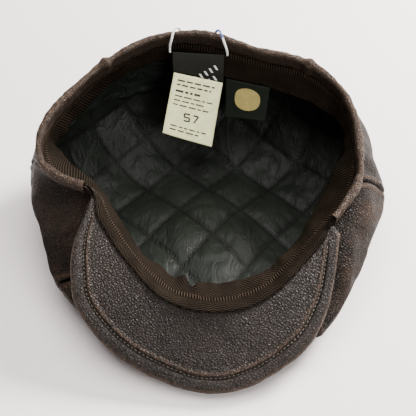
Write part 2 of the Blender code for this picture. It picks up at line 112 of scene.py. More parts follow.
# Points along the visor's edge, from its left end to its right end (mm).
VISOR_EDGE = [
    (-73, -29, 61), (-80, -52, 53), (-80, -73, 44), (-76, -86, 34), (-56, -105, 20), (-25, -120, 10),
    (3, -126, 7), (31, -119, 10), (57, -104, 20), (70, -85, 31), (76, -64, 43), (78, -45, 54),
]
# The opening's plane rises this much for each millimetre towards the back.
RIM_SLOPE = 0.446
DOWN = np.array((0, RIM_SLOPE, -1.0)) / math.hypot(RIM_SLOPE, 1.0)
CENTRE = np.array((0.0, -5.0, 0.0))
LEATHER = 1.2
# The crown stands upright for this far under the rim; its edge starts lower under the visor.
STAND = 9.0
EDGE_BELOW_TOP = 1.2
EDGE_UNDER_VISOR = 8.0
# The flat of the crown dips round the button, from this radius down to a level middle.
DISH_RADIUS = 26.0
DISH_DEPTH = 5.5
DISH_FLAT = 13.0
HOLE = 4.0
# The lower wall runs in this much further than it goes down.
REST_RUN = 6.0
# An inner layer starts its wall lower, is lifted at its widest line, and turns in a little wider.
SHOULDER_DROP = 1.4
WIDEST_LIFT = 0.2
LIFT_FROM = 28
LIFT_FULL = 40
TURN_SHARE = 0.3
# How far the upper wall puffs out, and how much of that the visor takes away.
WALL_PUFF = 0.5
WALL_PUFF_LOST = 0.38
# Angles of the visor's and the binding's ends, and degrees over which the visor's shape fades at its ends.
VISOR_START = 200
VISOR_END = 328
FRONT_INSIDE = 6
FRONT_OUTSIDE = 4
BINDING_START = -27.0
BINDING_END = 193.5
VISOR_ROLL = 2.6
BAND_INSET = 1.7


def smooth(x, low, high):
    """0 up to low, 1 from high on, and a soft step between them."""
    u = np.clip((np.asarray(x, float) - low) / (high - low), 0, 1)
    return u * u * (3 - 2 * u)


def hill(x, width, at=0.0, power=2):
    """1 at one place, falling to 0 on both sides of it."""
    return np.exp(-((x - at) / width) ** power)


def hermite(p0, p1, m0, m1, u):
    u = u[..., None]
    return (p0 * (2 * u ** 3 - 3 * u ** 2 + 1) + m0 * (u ** 3 - 2 * u ** 2 + u)
            + p1 * (-2 * u ** 3 + 3 * u ** 2) + m1 * (u ** 3 - u ** 2))


def station(angle, column):
    """Points of a closed station curve at the given angles."""
    knots = np.array([s[0] for s in STATIONS], float)
    points = np.array([s[column] for s in STATIONS], float)
    n = len(knots)
    a = (np.asarray(angle, float) - knots[0]) % 360 + knots[0]
    i = np.searchsorted(knots, a, side="right") - 1

    def at(k):
        return knots[k % n] + 360 * (k // n), points[k % n]

    (a0, p0), (a1, p1), (a2, p2), (a3, p3) = at(i - 1), at(i), at(i + 1), at(i + 2)
    span = a2 - a1
    m1 = (p2 - p0) * (span / (a2 - a0))[..., None]
    m2 = (p3 - p1) * (span / (a3 - a1))[..., None]
    return hermite(p1, p2, m1, m2, (a - a1) / span)


def open_curve(points, u):
    """Points at u from 0 to 1 on a smooth open curve through the given points."""
    p = np.array(points, float)
    p = np.concatenate([[2 * p[0] - p[1]], p, [2 * p[-1] - p[-2]]])
    last = len(points) - 1
    x = np.clip(np.asarray(u, float), 0, 1) * last
    i = np.minimum(x.astype(int), last - 1)
    m0 = (p[i + 2] - p[i]) / 2
    m1 = (p[i + 3] - p[i + 1]) / 2
    return hermite(p[i + 1], p[i + 2], m0, m1, x - i)


def unit(v):
    return v / np.maximum(np.linalg.norm(v, axis=-1, keepdims=True), 1e-9)


def distance(p, axis=0):
    """Distance along one axis of a row or grid of points, from its first point."""
    run = np.cumsum(np.linalg.norm(np.diff(p, axis=axis), axis=-1), axis=axis)
    return np.concatenate([np.zeros_like(run.take([0], axis=axis)), run], axis=axis)


def closed_run(ring):
    """Distance along a closed row of points, and its whole length."""
    step = np.linalg.norm(np.roll(ring, -1, axis=0) - ring, axis=-1)
    run = np.concatenate([[0], np.cumsum(step)[:-1]])
    return run, run[-1] + step[-1]


def circle(count):
    return np.linspace(0, 2 * math.pi, count + 1)[:-1]


def around_cap(count):
    """Angles all the way round the cap, starting at its front."""
    return np.linspace(-90, 270, count, endpoint=False)


def front_share(angle):
    """1 along the visor, 0 along the bound rim."""
    turned = (np.asarray(angle, float) + 90 + 180) % 360 - 180
    end = np.where(turned < 0, 270 - VISOR_START, VISOR_END - 270)
    return 1 - smooth(abs(turned), end - FRONT_INSIDE, end + FRONT_OUTSIDE)


def rim_frame(angle):
    """Points on the rim's top line, and its outward directions."""
    angle = np.asarray(angle, float)
    along = station(angle + 1, 1) - station(angle - 1, 1)
    return station(angle, 1), unit(np.cross(along, -DOWN))


def dish(r):
    """Depth of the hollow round the button."""
    return DISH_DEPTH * (1 - smooth(r, DISH_FLAT, DISH_RADIUS))


def bowl(angle, t, rim_inset, body_inset):
    """A layer of the crown, set in from the leather's outside at the rim and over the body.

    t 0..1 is the upright edge, 1..2 the upper wall, 2..3 the lower wall, 3..3.5 the flat, 3.5..4 its hollow.
    """
    angle, t = np.broadcast_arrays(np.asarray(angle, float), np.asarray(t, float))
    top, out = rim_frame(angle)
    share = front_share(angle)
    start = EDGE_BELOW_TOP + (EDGE_UNDER_VISOR - EDGE_BELOW_TOP) * np.sqrt(share)
    depth = start + (STAND - start) * np.clip(t, None, 1)
    edge = top + DOWN * depth[..., None] - out * rim_inset
    drop = SHOULDER_DROP * max(rim_inset - LEATHER, 0)
    shoulder = top + DOWN * (STAND + drop) - out * rim_inset
    equator = station(angle, 2)
    inward = (CENTRE - equator) * (1, 1, 0)
    reach = np.linalg.norm(inward, axis=-1)
    inward = inward / reach[..., None]
    lift = WIDEST_LIFT * body_inset * smooth(equator[..., 2], LIFT_FROM, LIFT_FULL)
    wide = equator + inward * body_inset
    wide[..., 2] += lift
    u = np.clip(t - 1, 0, 1)
    b = WALL_PUFF - WALL_PUFF_LOST * share
    across = (1 - b) * u + b * np.sin(u * math.pi / 2)
    down = (1 - b) * u + b * (1 - np.cos(u * math.pi / 2))
    upper = shoulder + (wide - shoulder) * across[..., None]
    upper[..., 2] = shoulder[..., 2] + (wide[..., 2] - shoulder[..., 2]) * down
    run = equator[..., 2] + REST_RUN + TURN_SHARE * body_inset - body_inset
    height = wide[..., 2] - body_inset
    w = np.clip(t - 2, 0, 1) * math.pi / 2
    lower = wide + inward * (run * (1 - np.cos(w)))[..., None]
    lower[..., 2] = wide[..., 2] - height * np.sin(w)
    far = reach - body_inset - run
    r = np.where(t <= 3.5, far + (DISH_RADIUS - far) * (t - 3) * 2,
                 DISH_RADIUS + (HOLE - DISH_RADIUS) * (t - 3.5) * 2)
    flat = CENTRE - inward * r[..., None]
    flat[..., 2] += body_inset + dish(r)
    t = t[..., None]
    return np.where(t <= 1, edge, np.where(t <= 2, upper, np.where(t <= 3, lower, flat)))


# ---------------------------------------------------------------- mesh helpers
def grid_normals(p, closed=False):
    if closed:
        du = np.roll(p, -1, axis=1) - np.roll(p, 1, axis=1)
    else:
        du = np.gradient(p, axis=1)
    dv = np.gradient(p, axis=0)
    return unit(np.cross(du, dv))


def turned_normals(p, at, inside, closed=False, towards=False):
    """Normals of a grid that point away from a place, or towards it, and whether its faces must turn over."""
    n = grid_normals(p, closed)
    flip = bool(np.sum(n[at] * (p[at] - inside)) < 0) != towards
    return -n if flip else n, flip


def store(mesh, key, values, domain="POINT"):
    """Keep one number for each point or edge of a mesh, for its material."""
    layer = mesh.attributes.new(key, "FLOAT", domain)
    layer.data.foreach_set("value", np.asarray(values).reshape(-1).astype(np.float32))


def grid_object(name, p, uv=None, closed=False, flip=False, attributes=None):
    """Mesh from a grid of points in mm, with a UV map in mm and point attributes."""
    rows, cols = p.shape[:2]
    last = cols if closed else cols - 1
    i, j = np.meshgrid(np.arange(rows - 1), np.arange(last), indexing="ij")
    k = (j + 1) % cols
    corner = np.stack([i * cols + j, i * cols + k, (i + 1) * cols + k, (i + 1) * cols + j], -1)
    corner = corner.reshape(-1, 4)
    order = slice(None, None, -1 if flip else 1)
    mesh = bpy.data.meshes.new(name)
    mesh.from_pydata(((p.reshape(-1, 3) + TO_MIDDLE) * MM).tolist(), [], corner[:, order].tolist())
    mesh.polygons.foreach_set("use_smooth", [True] * len(corner))
    if uv is not None:
        u, v = (np.broadcast_to(values, (rows, cols)) for values in uv)
        cu = u.reshape(-1)[corner]
        cv = v.reshape(-1)[corner]
        if closed:
            step = u[0, 1] - u[0, 0]
            wrap = (j == cols - 1).reshape(-1)
            cu[wrap, 1:3] = u[0, -1] + step
        both = np.stack([cu[:, order], cv[:, order]], -1)
        mesh.uv_layers.new(name="surface").data.foreach_set("uv", both.reshape(-1).astype(np.float32))
    for key, values in (attributes or {}).items():
        store(mesh, key, np.broadcast_to(values, (rows, cols)))
    return add_object(name, mesh)


def noise_at(p, size, seed=0.0):
    """Soft random values at points, changing over about the given size."""
    flat = p.reshape(-1, 3) / size + seed
    return np.array([noise.noise(Vector(q)) for q in flat.tolist()]).reshape(p.shape[:-1])


# Thickness of each kind of sheet (mm).
LEATHER_SHEET = 1.0
BINDING_SHEET = 0.9
BUTTON_SHEET = 0.8
WADDING_SHEET = 0.8
RIBBON_SHEET = 0.5
SATIN_SHEET = 0.5
LABEL_SHEET = 0.4
TAB_SHEET = 0.6


def bake(obj):
    """Make what the modifiers show the object's own mesh."""
    shown = bpy.context.evaluated_depsgraph_get()
    final = obj.evaluated_get(shown)
    mesh = bpy.data.meshes.new_from_object(final, preserve_all_data_layers=True, depsgraph=shown)
    obj.modifiers.clear()
    obj.data = mesh


def solidify(obj, thick, offset=-1.0):
    """Give a sheet its thickness in mm: inwards from its face, or to both sides with offset 0."""
    mod = obj.modifiers.new("thickness", "SOLIDIFY")
    mod.thickness = thick * MM
    mod.offset = offset
    bake(obj)


# ---------------------------------------------------------------- materials
class Tree:
    """Short way to write a material's nodes."""

    def __init__(self, name):
        self.mat = bpy.data.materials.new(name)
        self.mat.use_nodes = True
        self.tree = self.mat.node_tree
        self.tree.nodes.clear()
        self.out = self.tree.nodes.new("ShaderNodeOutputMaterial")
        self.shader = self.node("ShaderNodeBsdfPrincipled")
        self.link(self.shader.outputs[0], self.out.inputs["Surface"])

    def node(self, kind, **settings):
        n = self.tree.nodes.new(kind)
        for key, value in settings.items():
            if hasattr(n, key):
                setattr(n, key, value)
            else:
                self.put(n.inputs[key.replace("_", " ")], value)
        return n

    def put(self, socket, value):
        if isinstance(value, bpy.types.NodeSocket):
            self.link(value, socket)
        elif isinstance(value, tuple) and len(value) == 3 and socket.type == "RGBA":
            socket.default_value = (*value, 1)
        else:
            socket.default_value = value

    def link(self, a, b):
        self.tree.links.new(a, b)

    def set(self, **values):
        for key, value in values.items():
            self.put(self.shader.inputs[key.replace("_", " ")], value)
        return self

    def place(self, scale=(1000, 1000, 1000), uv=None):
        """Coordinates in mm from the object, or from a UV map that is in mm already."""
        mapping = self.node("ShaderNodeMapping", Scale=scale)
        if uv:
            self.link(self.node("ShaderNodeUVMap", uv_map=uv).outputs[0], mapping.inputs["Vector"])
        else:
            self.link(self.node("ShaderNodeTexCoord").outputs["Object"], mapping.inputs["Vector"])
        return mapping.outputs[0]

    def noise(self, at, size, detail=3.0, rough=0.55, distort=0.0):
        return self.node("ShaderNodeTexNoise", Vector=at, Scale=1.0 / size, Detail=detail,
                         Roughness=rough, Distortion=distort).outputs["Fac"]

    def math(self, op, a, b=0.0, c=0.0):
        n = self.node("ShaderNodeMath", operation=op)
        for socket, value in zip(n.inputs, (a, b, c)):
            self.put(socket, value)
        return n.outputs[0]

    def range(self, value, low, high, to_low=0.0, to_high=1.0, smooth_ends=True):
        n = self.node("ShaderNodeMapRange", interpolation_type="SMOOTHSTEP" if smooth_ends else "LINEAR")
        keys = ("Value", "From Min", "From Max", "To Min", "To Max")
        for key, v in zip(keys, (value, low, high, to_low, to_high)):
            self.put(n.inputs[key], v)
        return n.outputs[0]

    def mix(self, factor, a, b):
        n = self.node("ShaderNodeMix", data_type="RGBA")
        self.put(n.inputs[0], factor)
        self.put(n.inputs[6], a)
        self.put(n.inputs[7], b)
        return n.outputs[2]

    def bump(self, height, distance):
        """Relief of a height field, whose full height is the distance in mm."""
        return self.node("ShaderNodeBump", Height=height, Distance=distance * MM).outputs[0]

    def attribute(self, name):
        return self.node("ShaderNodeAttribute", attribute_name=name).outputs["Fac"]


def tinted(color, share):
    return tuple(min(c * share, 1) for c in color)


# Leather: how far its grain is bent out of line, its relief (mm) and its roughness.
GRAIN_BEND = 1.3
GRAIN_BEND_SIZE = 0.45
GRAIN_DEPTH = 0.52
LEATHER_ROUGH = 0.44
LEATHER_ROUGH_RANGE = 0.14
# Sizes of its large patches, smears, swellings and rubbed spots (mm).
PATCH_SIZE = 38
SMEAR_SIZE = 8
SWELL_SIZE = 6
RUB_SIZE = 2.2


def leather(name, dark, mid, worn, shine, grain=1.65):
    """Distressed pebbled leather: domed grain, painted shade in the hollows of its grain, dry patches and
    rubbed places.
    """
    t = Tree(name)
    at = t.place()
    bent = t.node("ShaderNodeVectorMath", operation="MULTIPLY_ADD")
    shake = t.node("ShaderNodeTexNoise", Vector=at, Scale=GRAIN_BEND_SIZE, Detail=2.0)
    t.link(shake.outputs["Color"], bent.inputs[0])
    bent.inputs[1].default_value = (GRAIN_BEND, GRAIN_BEND, GRAIN_BEND)
    t.link(at, bent.inputs[2])
    pebbles = {"Vector": bent.outputs[0], "Scale": 1.0 / grain}
    edge = t.node("ShaderNodeTexVoronoi", feature="DISTANCE_TO_EDGE", **pebbles).outputs["Distance"]
    tint = t.node("ShaderNodeTexVoronoi", **pebbles).outputs["Color"]
    own = t.node("ShaderNodeSeparateColor", Color=tint).outputs[0]
    dome = t.math("POWER", t.range(edge, 0.0, 0.42, smooth_ends=False), 0.55)
    patch = t.range(t.noise(at, PATCH_SIZE, 4, 0.6, 0.4), 0.4, 0.62)
    smear = t.range(t.noise(at, SMEAR_SIZE, 4, 0.65), 0.35, 0.7)
    rub = t.math("MULTIPLY", t.attribute("wear"), t.range(t.noise(at, RUB_SIZE, 5, 0.7), 0.3, 0.62))
    # Painted shade: the recesses between the pebbles are coloured darker.
    valley_shade = t.math("MULTIPLY", t.math("SUBTRACT", 1.0, t.range(edge, 0.0, 0.16)), 0.9)
    color = t.mix(patch, dark, mid)
    color = t.mix(t.math("MULTIPLY", smear, 0.4), color, tinted(mid, 1.7))
    color = t.mix(t.math("MULTIPLY", own, 0.35), color, tinted(dark, 0.4))
    color = t.mix(rub, color, worn)
    color = t.mix(valley_shade, color, tinted(dark, 0.15))
    color = t.mix(t.attribute("shade"), color, tinted(dark, 0.2))
    height = t.math("MULTIPLY", dome, t.math("MULTIPLY_ADD", own, 0.35, 0.8))
    height = t.math("MULTIPLY", height, t.math("MULTIPLY_ADD", t.attribute("margin"), -0.3, 1.0))
    height = t.math("ADD", height, t.math("MULTIPLY", t.noise(at, SWELL_SIZE, 4), 1.1))
    gloss = t.range(smear, 0.0, 1.0, LEATHER_ROUGH, LEATHER_ROUGH + LEATHER_ROUGH_RANGE)
    t.set(Base_Color=color, Roughness=gloss, Normal=t.bump(height, GRAIN_DEPTH), Specular_IOR_Level=shine)
    return t.mat


# Satin: the mapping that stretches its threads and its loose wrinkles, and how fine they are (mm).
THREAD_STRETCH = (1000, 5000, 1000)
THREAD_SIZE = 0.6
WRINKLE_STRETCH = (1000, 420, 700)
WRINKLE_SIZE = 8


def satin(name, color, rough=0.36, weave=0.03, wrinkle=0.0):
    """Close dark satin with a soft sheen, faint threads and loose wrinkles."""
    t = Tree(name)
    at = t.place()
    tone = t.range(t.noise(at, 22, 3), 0.3, 0.7)
    base = t.mix(tone, tinted(color, 0.82), tinted(color, 1.2))
    base = t.mix(t.attribute("shade"), base, tinted(color, 0.08))
    threads = t.math("ADD", t.noise(t.place(THREAD_STRETCH), THREAD_SIZE, 1), t.noise(at, 5, 3))
    if wrinkle:
        pull = t.noise(t.place(WRINKLE_STRETCH), WRINKLE_SIZE, 3, 0.55, 1.6)
        threads = t.math("ADD", threads, t.math("MULTIPLY", pull, wrinkle))
    lit = t.math("MULTIPLY_ADD", t.attribute("shade"), -0.08, 0.11)
    t.set(Base_Color=base, Roughness=rough, Normal=t.bump(threads, weave), Specular_IOR_Level=lit)
    return t.mat


# The ribbon's row of open bars runs this far from its sewn edge (mm).
SLOT_AT = 10.4
# Its ribs: their spacing, the width of the bands in which they turn back, and their slants.
RIB_STEP = 1.6
RIB_BAND = 2.6
RIB_SLANT = 0.42
UPPER_SLANT = (0.8, 0.62)


def herringbone(name):
    """Ribbon of slanted ribs that turn back in narrow bands, on a UV map in mm."""
    t = Tree(name)
    uv = t.node("ShaderNodeSeparateXYZ", Vector=t.place((1, 1, 1), uv="surface"))
    u, v = uv.outputs[0], uv.outputs[1]
    below = t.math("ADD", v, t.math("MULTIPLY", t.math("PINGPONG", u, RIB_BAND), RIB_SLANT))
    above = t.math("ADD", t.math("MULTIPLY", u, UPPER_SLANT[0]), t.math("MULTIPLY", v, UPPER_SLANT[1]))
    upper = t.math("GREATER_THAN", v, SLOT_AT)
    lower = t.math("SUBTRACT", 1.0, upper)
    slant = t.math("ADD", t.math("MULTIPLY", below, lower), t.math("MULTIPLY", above, upper))
    rib = t.math("SINE", t.math("MULTIPLY", slant, 2 * math.pi / RIB_STEP))
    rib = t.range(rib, -0.15, 0.85)
    at = t.place()
    tone = t.range(t.noise(at, 14, 4, 0.6), 0.3, 0.7)
    light = t.mix(tone, (0.0155, 0.0102, 0.0062), (0.033, 0.0225, 0.014))
    color = t.mix(t.range(rib, 0, 1, 0.95, 0.0), light, (0.0025, 0.0018, 0.0013))
    color = t.mix(t.attribute("shade"), color, (0.0015, 0.001, 0.0008))
    fuzz = t.noise(at, 0.35, 2)
    height = t.math("ADD", rib, t.math("MULTIPLY", fuzz, 0.6))
    t.set(Base_Color=color, Roughness=0.78, Normal=t.bump(height, 0.65), Specular_IOR_Level=0.04)
    return t.mat


def plain(name, color, rough=0.7, bump=0.0, size=0.4, metal=0.0, shine=0.5):
    """One colour with a slight variation, and a fine relief where bump is set."""
    t = Tree(name)
    at = t.place()
    tone = t.range(t.noise(at, 6, 3), 0.3, 0.7)
    base = t.mix(tone, tinted(color, 0.88), tinted(color, 1.08))
    t.set(Base_Color=base, Roughness=rough, Metallic=metal, Specular_IOR_Level=shine)
    if bump:
        t.set(Normal=t.bump(t.noise(at, size, 2), bump))
    return t.mat


def cotton():
    """White cotton; the dyed attribute turns a stretch of it blue."""
    t = Tree("cotton_string")
    at = t.place()
    base = t.mix(t.attribute("dyed"), (0.78, 0.77, 0.74), (0.045, 0.085, 0.3))
    t.set(Base_Color=base, Roughness=0.85, Normal=t.bump(t.noise(at, 0.3, 2), 0.08), Sheen_Weight=0.3)
    return t.mat


LEATHER_CROWN = leather("leather_crown", (0.0066, 0.0039, 0.0026), (0.022, 0.0128, 0.0082),
                        (0.08, 0.047, 0.03), 0.095)
LEATHER_VISOR = leather("leather_visor", (0.0052, 0.0036, 0.0028), (0.013, 0.0084, 0.0063),
                        (0.075, 0.046, 0.03), 0.17)
LEATHER_RIM = leather("leather_rim", (0.013, 0.0085, 0.006), (0.034, 0.0215, 0.0145),
                      (0.11, 0.068, 0.045), 0.16, grain=1.3)
SATIN_TOP = satin("satin_quilted", (0.0096, 0.0112, 0.0086), 0.4, 0.055, 20.0)
# Painted light: the side wall's satin is coloured lighter than the quilted top's satin, to stand in for light
# falling on the crown's inside wall.
SATIN_SIDE_PAINTED_LIGHT = satin("satin_side_painted_light", (0.011, 0.0135, 0.0115), 0.38, 0.06, 40.0)
RIBBON = herringbone("herringbone_ribbon")
RIBBON_BAR = plain("ribbon_bar", (0.042, 0.028, 0.0175), 0.85, 0.05, 0.3, shine=0.08)
THREAD_LIGHT = plain("thread_light", (0.15, 0.122, 0.095))
THREAD_BROWN = plain("thread_brown", (0.03, 0.02, 0.014))
THREAD_DARK = plain("thread_dark", (0.002, 0.0024, 0.0022), 0.6)
WADDING = plain("wadding_fibre", (0.72, 0.71, 0.67), 0.95, 0.3, 0.8)
LABEL_BLACK = satin("label_black", (0.016, 0.0165, 0.0135), 0.5)
LABEL_CREAM = plain("label_cream", (0.95, 0.94, 0.5), 0.55, 0.05, 0.3)
LABEL_PRINT = plain("label_print", (0.03, 0.03, 0.02), 0.6)
LABEL_WHITE = plain("label_white_print", (0.75, 0.76, 0.72), 0.6)
TAB_SATIN = satin("tab_satin", (0.012, 0.015, 0.011), 0.5)
TAB_GOLD = plain("tab_gold", (0.62, 0.5, 0.17), 0.38, 0.04, 0.5, metal=0.35)
COTTON = cotton()


def finish_piece(obj, mat, body="cap", nodes=()):
    """Give a piece its material, slot and body; with body flex it gets no body and its placement is baked
    into its mesh.
    """
    obj.data.materials.clear()
    obj.data.materials.append(mat)
    if body == "flex":
        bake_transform(obj)
    else:
        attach(obj, body)
    if nodes:
        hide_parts(*nodes)


# ---------------------------------------------------------------- ticket string
# Route in metres, from the black label's left corner over the back rim to its right corner.
ROUTE = [
    (-0.02319, 0.08349, 0.0984), (-0.02319, 0.08368, 0.1020), (-0.02279, 0.08228, 0.1060),
    (-0.02179, 0.08228, 0.1100), (-0.02079, 0.08489, 0.1130), (-0.01929, 0.08868, 0.1134),
    (-0.01779, 0.09228, 0.1112), (-0.01629, 0.09448, 0.1070), (-0.01429, 0.09688, 0.1020),
    (-0.01079, 0.09889, 0.0986), (-0.00579, 0.09968, 0.0974), (-0.00079, 0.09908, 0.0978),
    (0.00321, 0.09688, 0.1010), (0.00571, 0.09389, 0.1060), (0.00721, 0.09089, 0.1100),
    (0.00861, 0.08748, 0.1122), (0.00981, 0.08368, 0.1120), (0.01121, 0.08008, 0.1092),
    (0.01261, 0.07928, 0.1048), (0.01341, 0.08088, 0.1006), (0.01361, 0.08208, 0.0970),
]
STRING_STEPS = 420
# The two plies: length of one full twist, distance from the middle, and half their thickness (mm).
TWIST = 2.6
PLY_OUT = 0.36
PLY_RADIUS = 0.44


def close_ends(mesh):
    """Cap the open ends of a tube."""
    work = bmesh.new()
    work.from_mesh(mesh)
    bmesh.ops.holes_fill(work, edges=[e for e in work.edges if e.is_boundary], sides=12)
    work.to_mesh(mesh)
    work.free()


def ticket_string():
    """Two cotton strands twisted together; a stretch of it is dyed blue."""
    u = np.linspace(0, 1, STRING_STEPS)
    path = open_curve(ROUTE, u) / MM - TO_MIDDLE
    run = distance(path)
    along = unit(np.gradient(path, axis=0))
    side = np.zeros_like(along)
    side[0] = unit(np.cross(along[0], (0.3, 0.2, 1.0)))
    for k in range(1, STRING_STEPS):
        side[k] = unit(side[k - 1] - along[k] * np.dot(side[k - 1], along[k]))
    up = np.cross(along, side)
    turn = run / TWIST * 2 * math.pi
    ring = circle(8)[None, :, None]
    dyed = smooth(u, 0.60, 0.615) * (1 - smooth(u, 0.82, 0.83))
    plies = []
    for k, a in enumerate((turn, turn + math.pi)):
        middle = path + (side * np.cos(a)[:, None] + up * np.sin(a)[:, None]) * PLY_OUT
        grid = middle[:, None] + PLY_RADIUS * (side[:, None] * np.cos(ring) + up[:, None] * np.sin(ring))
        flip = turned_normals(grid, (5, 0), grid[5].mean(axis=0), closed=True)[1]
        ply = grid_object(f"ticket_string_ply_{k}", grid, closed=True, flip=flip,
                          attributes={"dyed": dyed[:, None]})
        close_ends(ply.data)
        plies.append(ply)
    obj = plies[0]
    with bpy.context.temp_override(active_object=obj, selected_editable_objects=plies, object=obj):
        bpy.ops.object.join()
    obj.name = "ticket_string_cotton"
    finish_piece(obj, COTTON, "cap", ("ticket_string",))


ticket_string()


# ---------------------------------------------------------------- crown
PANELS = [
    ("panel_side_front_right", -45), ("panel_side_back_right", 0), ("panel_back_right", 45),
    ("panel_back_left", 90), ("panel_side_back_left", 135), ("panel_side_front_left", 180),
    ("panel_front_left", 225), ("panel_front_right", 270),
]


PANEL_TURN = 45
# Seams between the gores: depth and half width of the groove, then of the raised edge beside it (mm).
SEAM_DEPTH = 1.5
SEAM_HALF = 0.9
SEAM_EDGE = 0.55
SEAM_EDGE_AT = 3.0
# The crown folds in beside the visor's ends: depth, half width, and the ridge beside the fold (mm).
CREASE_DEPTH = 1.4
CREASE_HALF = 5.5
CREASE_RIDGE = 1.6


def visor_edge_line():
    """Points just behind the visor's side edges, where the crown folds in beside it."""
    return open_curve(VISOR_EDGE, np.concatenate([np.linspace(0.0, 0.28, 40), np.linspace(0.72, 1.0, 40)]))


def crown_panel(name, start):
    """One leather gore, sunk along both seams, softly buckled and rubbed on its ridges."""
    t = np.concatenate([np.linspace(0, 1, 6)[:-1], np.linspace(1, 2, 46)[:-1], np.linspace(2, 3, 40)[:-1],
                        np.linspace(3, 3.5, 16)[:-1], np.linspace(3.5, 4, 16)])
    cols = 61
    share = np.linspace(0, 1, cols)
    share = share + 0.035 * np.sin(2 * math.pi * share)
    p = bowl(start + PANEL_TURN * share[None, :], t[:, None], 0, 0)
    n, flip = turned_normals(p, (len(t) // 3, cols // 2), CENTRE + (0, 0, 40))
    left = distance(p, axis=1)
    seam = np.minimum(left, left[:, -1:] - left)
    t = t[:, None]
    free = smooth(t, 0.9, 1.25) * (1 - smooth(t, 2.6, 3.0))
    groove = SEAM_EDGE * hill(seam, 1.8, SEAM_EDGE_AT) - SEAM_DEPTH * hill(seam, SEAM_HALF)
    wave = noise_at(p, 26, 3.7) * 2.4 + noise_at(p, 11, 9.1) * 0.9
    pucker = noise_at(p, 4.2, 5.5) * 0.5 * hill(seam, 6)
    h = groove * smooth(t, 0.9, 1.1) * (1 - smooth(t, 3.6, 3.9))
    h = np.maximum(h + (wave + pucker) * free, -SEAM_DEPTH)
    far = np.sqrt(((p[:, :, None, :] - visor_edge_line()[None, None]) ** 2).sum(-1)).min(-1)
    beside = smooth(t, 1.0, 1.2)
    crease = hill(far, CREASE_HALF) * beside
    h = h * (1 - crease) - CREASE_DEPTH * crease + CREASE_RIDGE * hill(far, 5, 12) * free
    wear = 0.85 * hill(seam, 1.6, 3.2) * smooth(t, 1, 1.1) + 0.5 * smooth(wave, 0.5, 1.9) * free
    shade = np.maximum(0.9 * hill(seam, 0.7), 0.95 * hill(far, 4.2) * beside)
    obj = grid_object(name + "_leather", p + n * h[..., None], (left, distance(p)), flip=flip,
                      attributes={"wear": wear, "shade": shade})
    solidify(obj, LEATHER_SHEET)
    bends = start >= 180 or start == -45
    finish_piece(obj, LEATHER_CROWN, "flex" if bends else "cap", (name,))


for panel_name, panel_start in PANELS:
    crown_panel(panel_name, panel_start)


# ---------------------------------------------------------------- rows of stitches and bars
STITCH_SIZES = ("Spacing", "Length", "Width", "Height")
# Kinds of stitch by these sizes in mm.
RIM_STITCH = (3.0, 2.3, 0.55, 0.45)
BAND_BAR = (1.7, 4.6, 0.75, 0.5)
VISOR_STITCH = (2.6, 1.8, 0.5, 0.5)
QUILT_STITCH = (2.4, 1.6, 0.5, 0.4)
STITCH_NODES = {
    "given": "NodeGroupInput", "out": "NodeGroupOutput",
    "curve": "GeometryNodeMeshToCurve", "steps": "GeometryNodeResampleCurve",
    "ball": "GeometryNodeMeshUVSphere", "size": "ShaderNodeCombineXYZ", "bar": "GeometryNodeTransform",
    "aim": "GeometryNodeInputNamedAttribute", "up": "GeometryNodeInputNamedAttribute",
    "along": "FunctionNodeAlignRotationToVector", "turned": "FunctionNodeAlignRotationToVector",
    "place": "GeometryNodeInstanceOnPoints", "real": "GeometryNodeRealizeInstances",
    "paint": "GeometryNodeSetMaterial", "soft": "GeometryNodeSetShadeSmooth",
}
STITCH_LINKS = [
    ("given.Path", "curve.Mesh"), ("curve.Curve", "steps.Curve"), ("given.Spacing", "steps.Length"),
    ("steps.Curve", "place.Points"), ("given.Height", "size.X"), ("given.Width", "size.Y"),
    ("given.Length", "size.Z"), ("ball.Mesh", "bar.Geometry"), ("size.Vector", "bar.Scale"),
    ("bar.Geometry", "place.Instance"), ("aim.Attribute", "along.Vector"), ("up.Attribute", "turned.Vector"),
    ("along.Rotation", "turned.Rotation"), ("turned.Rotation", "place.Rotation"),
    ("place.Instances", "real.Geometry"), ("real.Geometry", "paint.Geometry"),
    ("given.Material", "paint.Material"), ("paint.Geometry", "soft.Geometry"),
    ("soft.Geometry", "out.Stitches"),
]


def stitch_tree():
    """Geometry Nodes: a small rounded bar at equal steps along a path, turned to the path's aim attribute."""
    tree = bpy.data.node_groups.new("stitch_row", "GeometryNodeTree")
    face = tree.interface
    face.new_socket("Path", in_out="INPUT", socket_type="NodeSocketGeometry")
    for key, size in zip(STITCH_SIZES, VISOR_STITCH):
        face.new_socket(key, in_out="INPUT", socket_type="NodeSocketFloat").default_value = size * MM
    face.new_socket("Material", in_out="INPUT", socket_type="NodeSocketMaterial")
    face.new_socket("Stitches", in_out="OUTPUT", socket_type="NodeSocketGeometry")
    node = {key: tree.nodes.new(kind) for key, kind in STITCH_NODES.items()}
    node["steps"].mode = "LENGTH"
    node["along"].axis = "Z"
    node["turned"].axis = "X"
    node["turned"].pivot_axis = "Z"
    for key, value in (("Segments", 6), ("Rings", 4), ("Radius", 0.5)):
        node["ball"].inputs[key].default_value = value
    for key in ("aim", "up"):
        node[key].data_type = "FLOAT_VECTOR"
        node[key].inputs["Name"].default_value = key
    for start, end in STITCH_LINKS:
        (a, out_socket), (b, in_socket) = start.split("."), end.split(".")
        tree.links.new(node[a].outputs[out_socket], node[b].inputs[in_socket])
    return tree


STITCHES = stitch_tree()


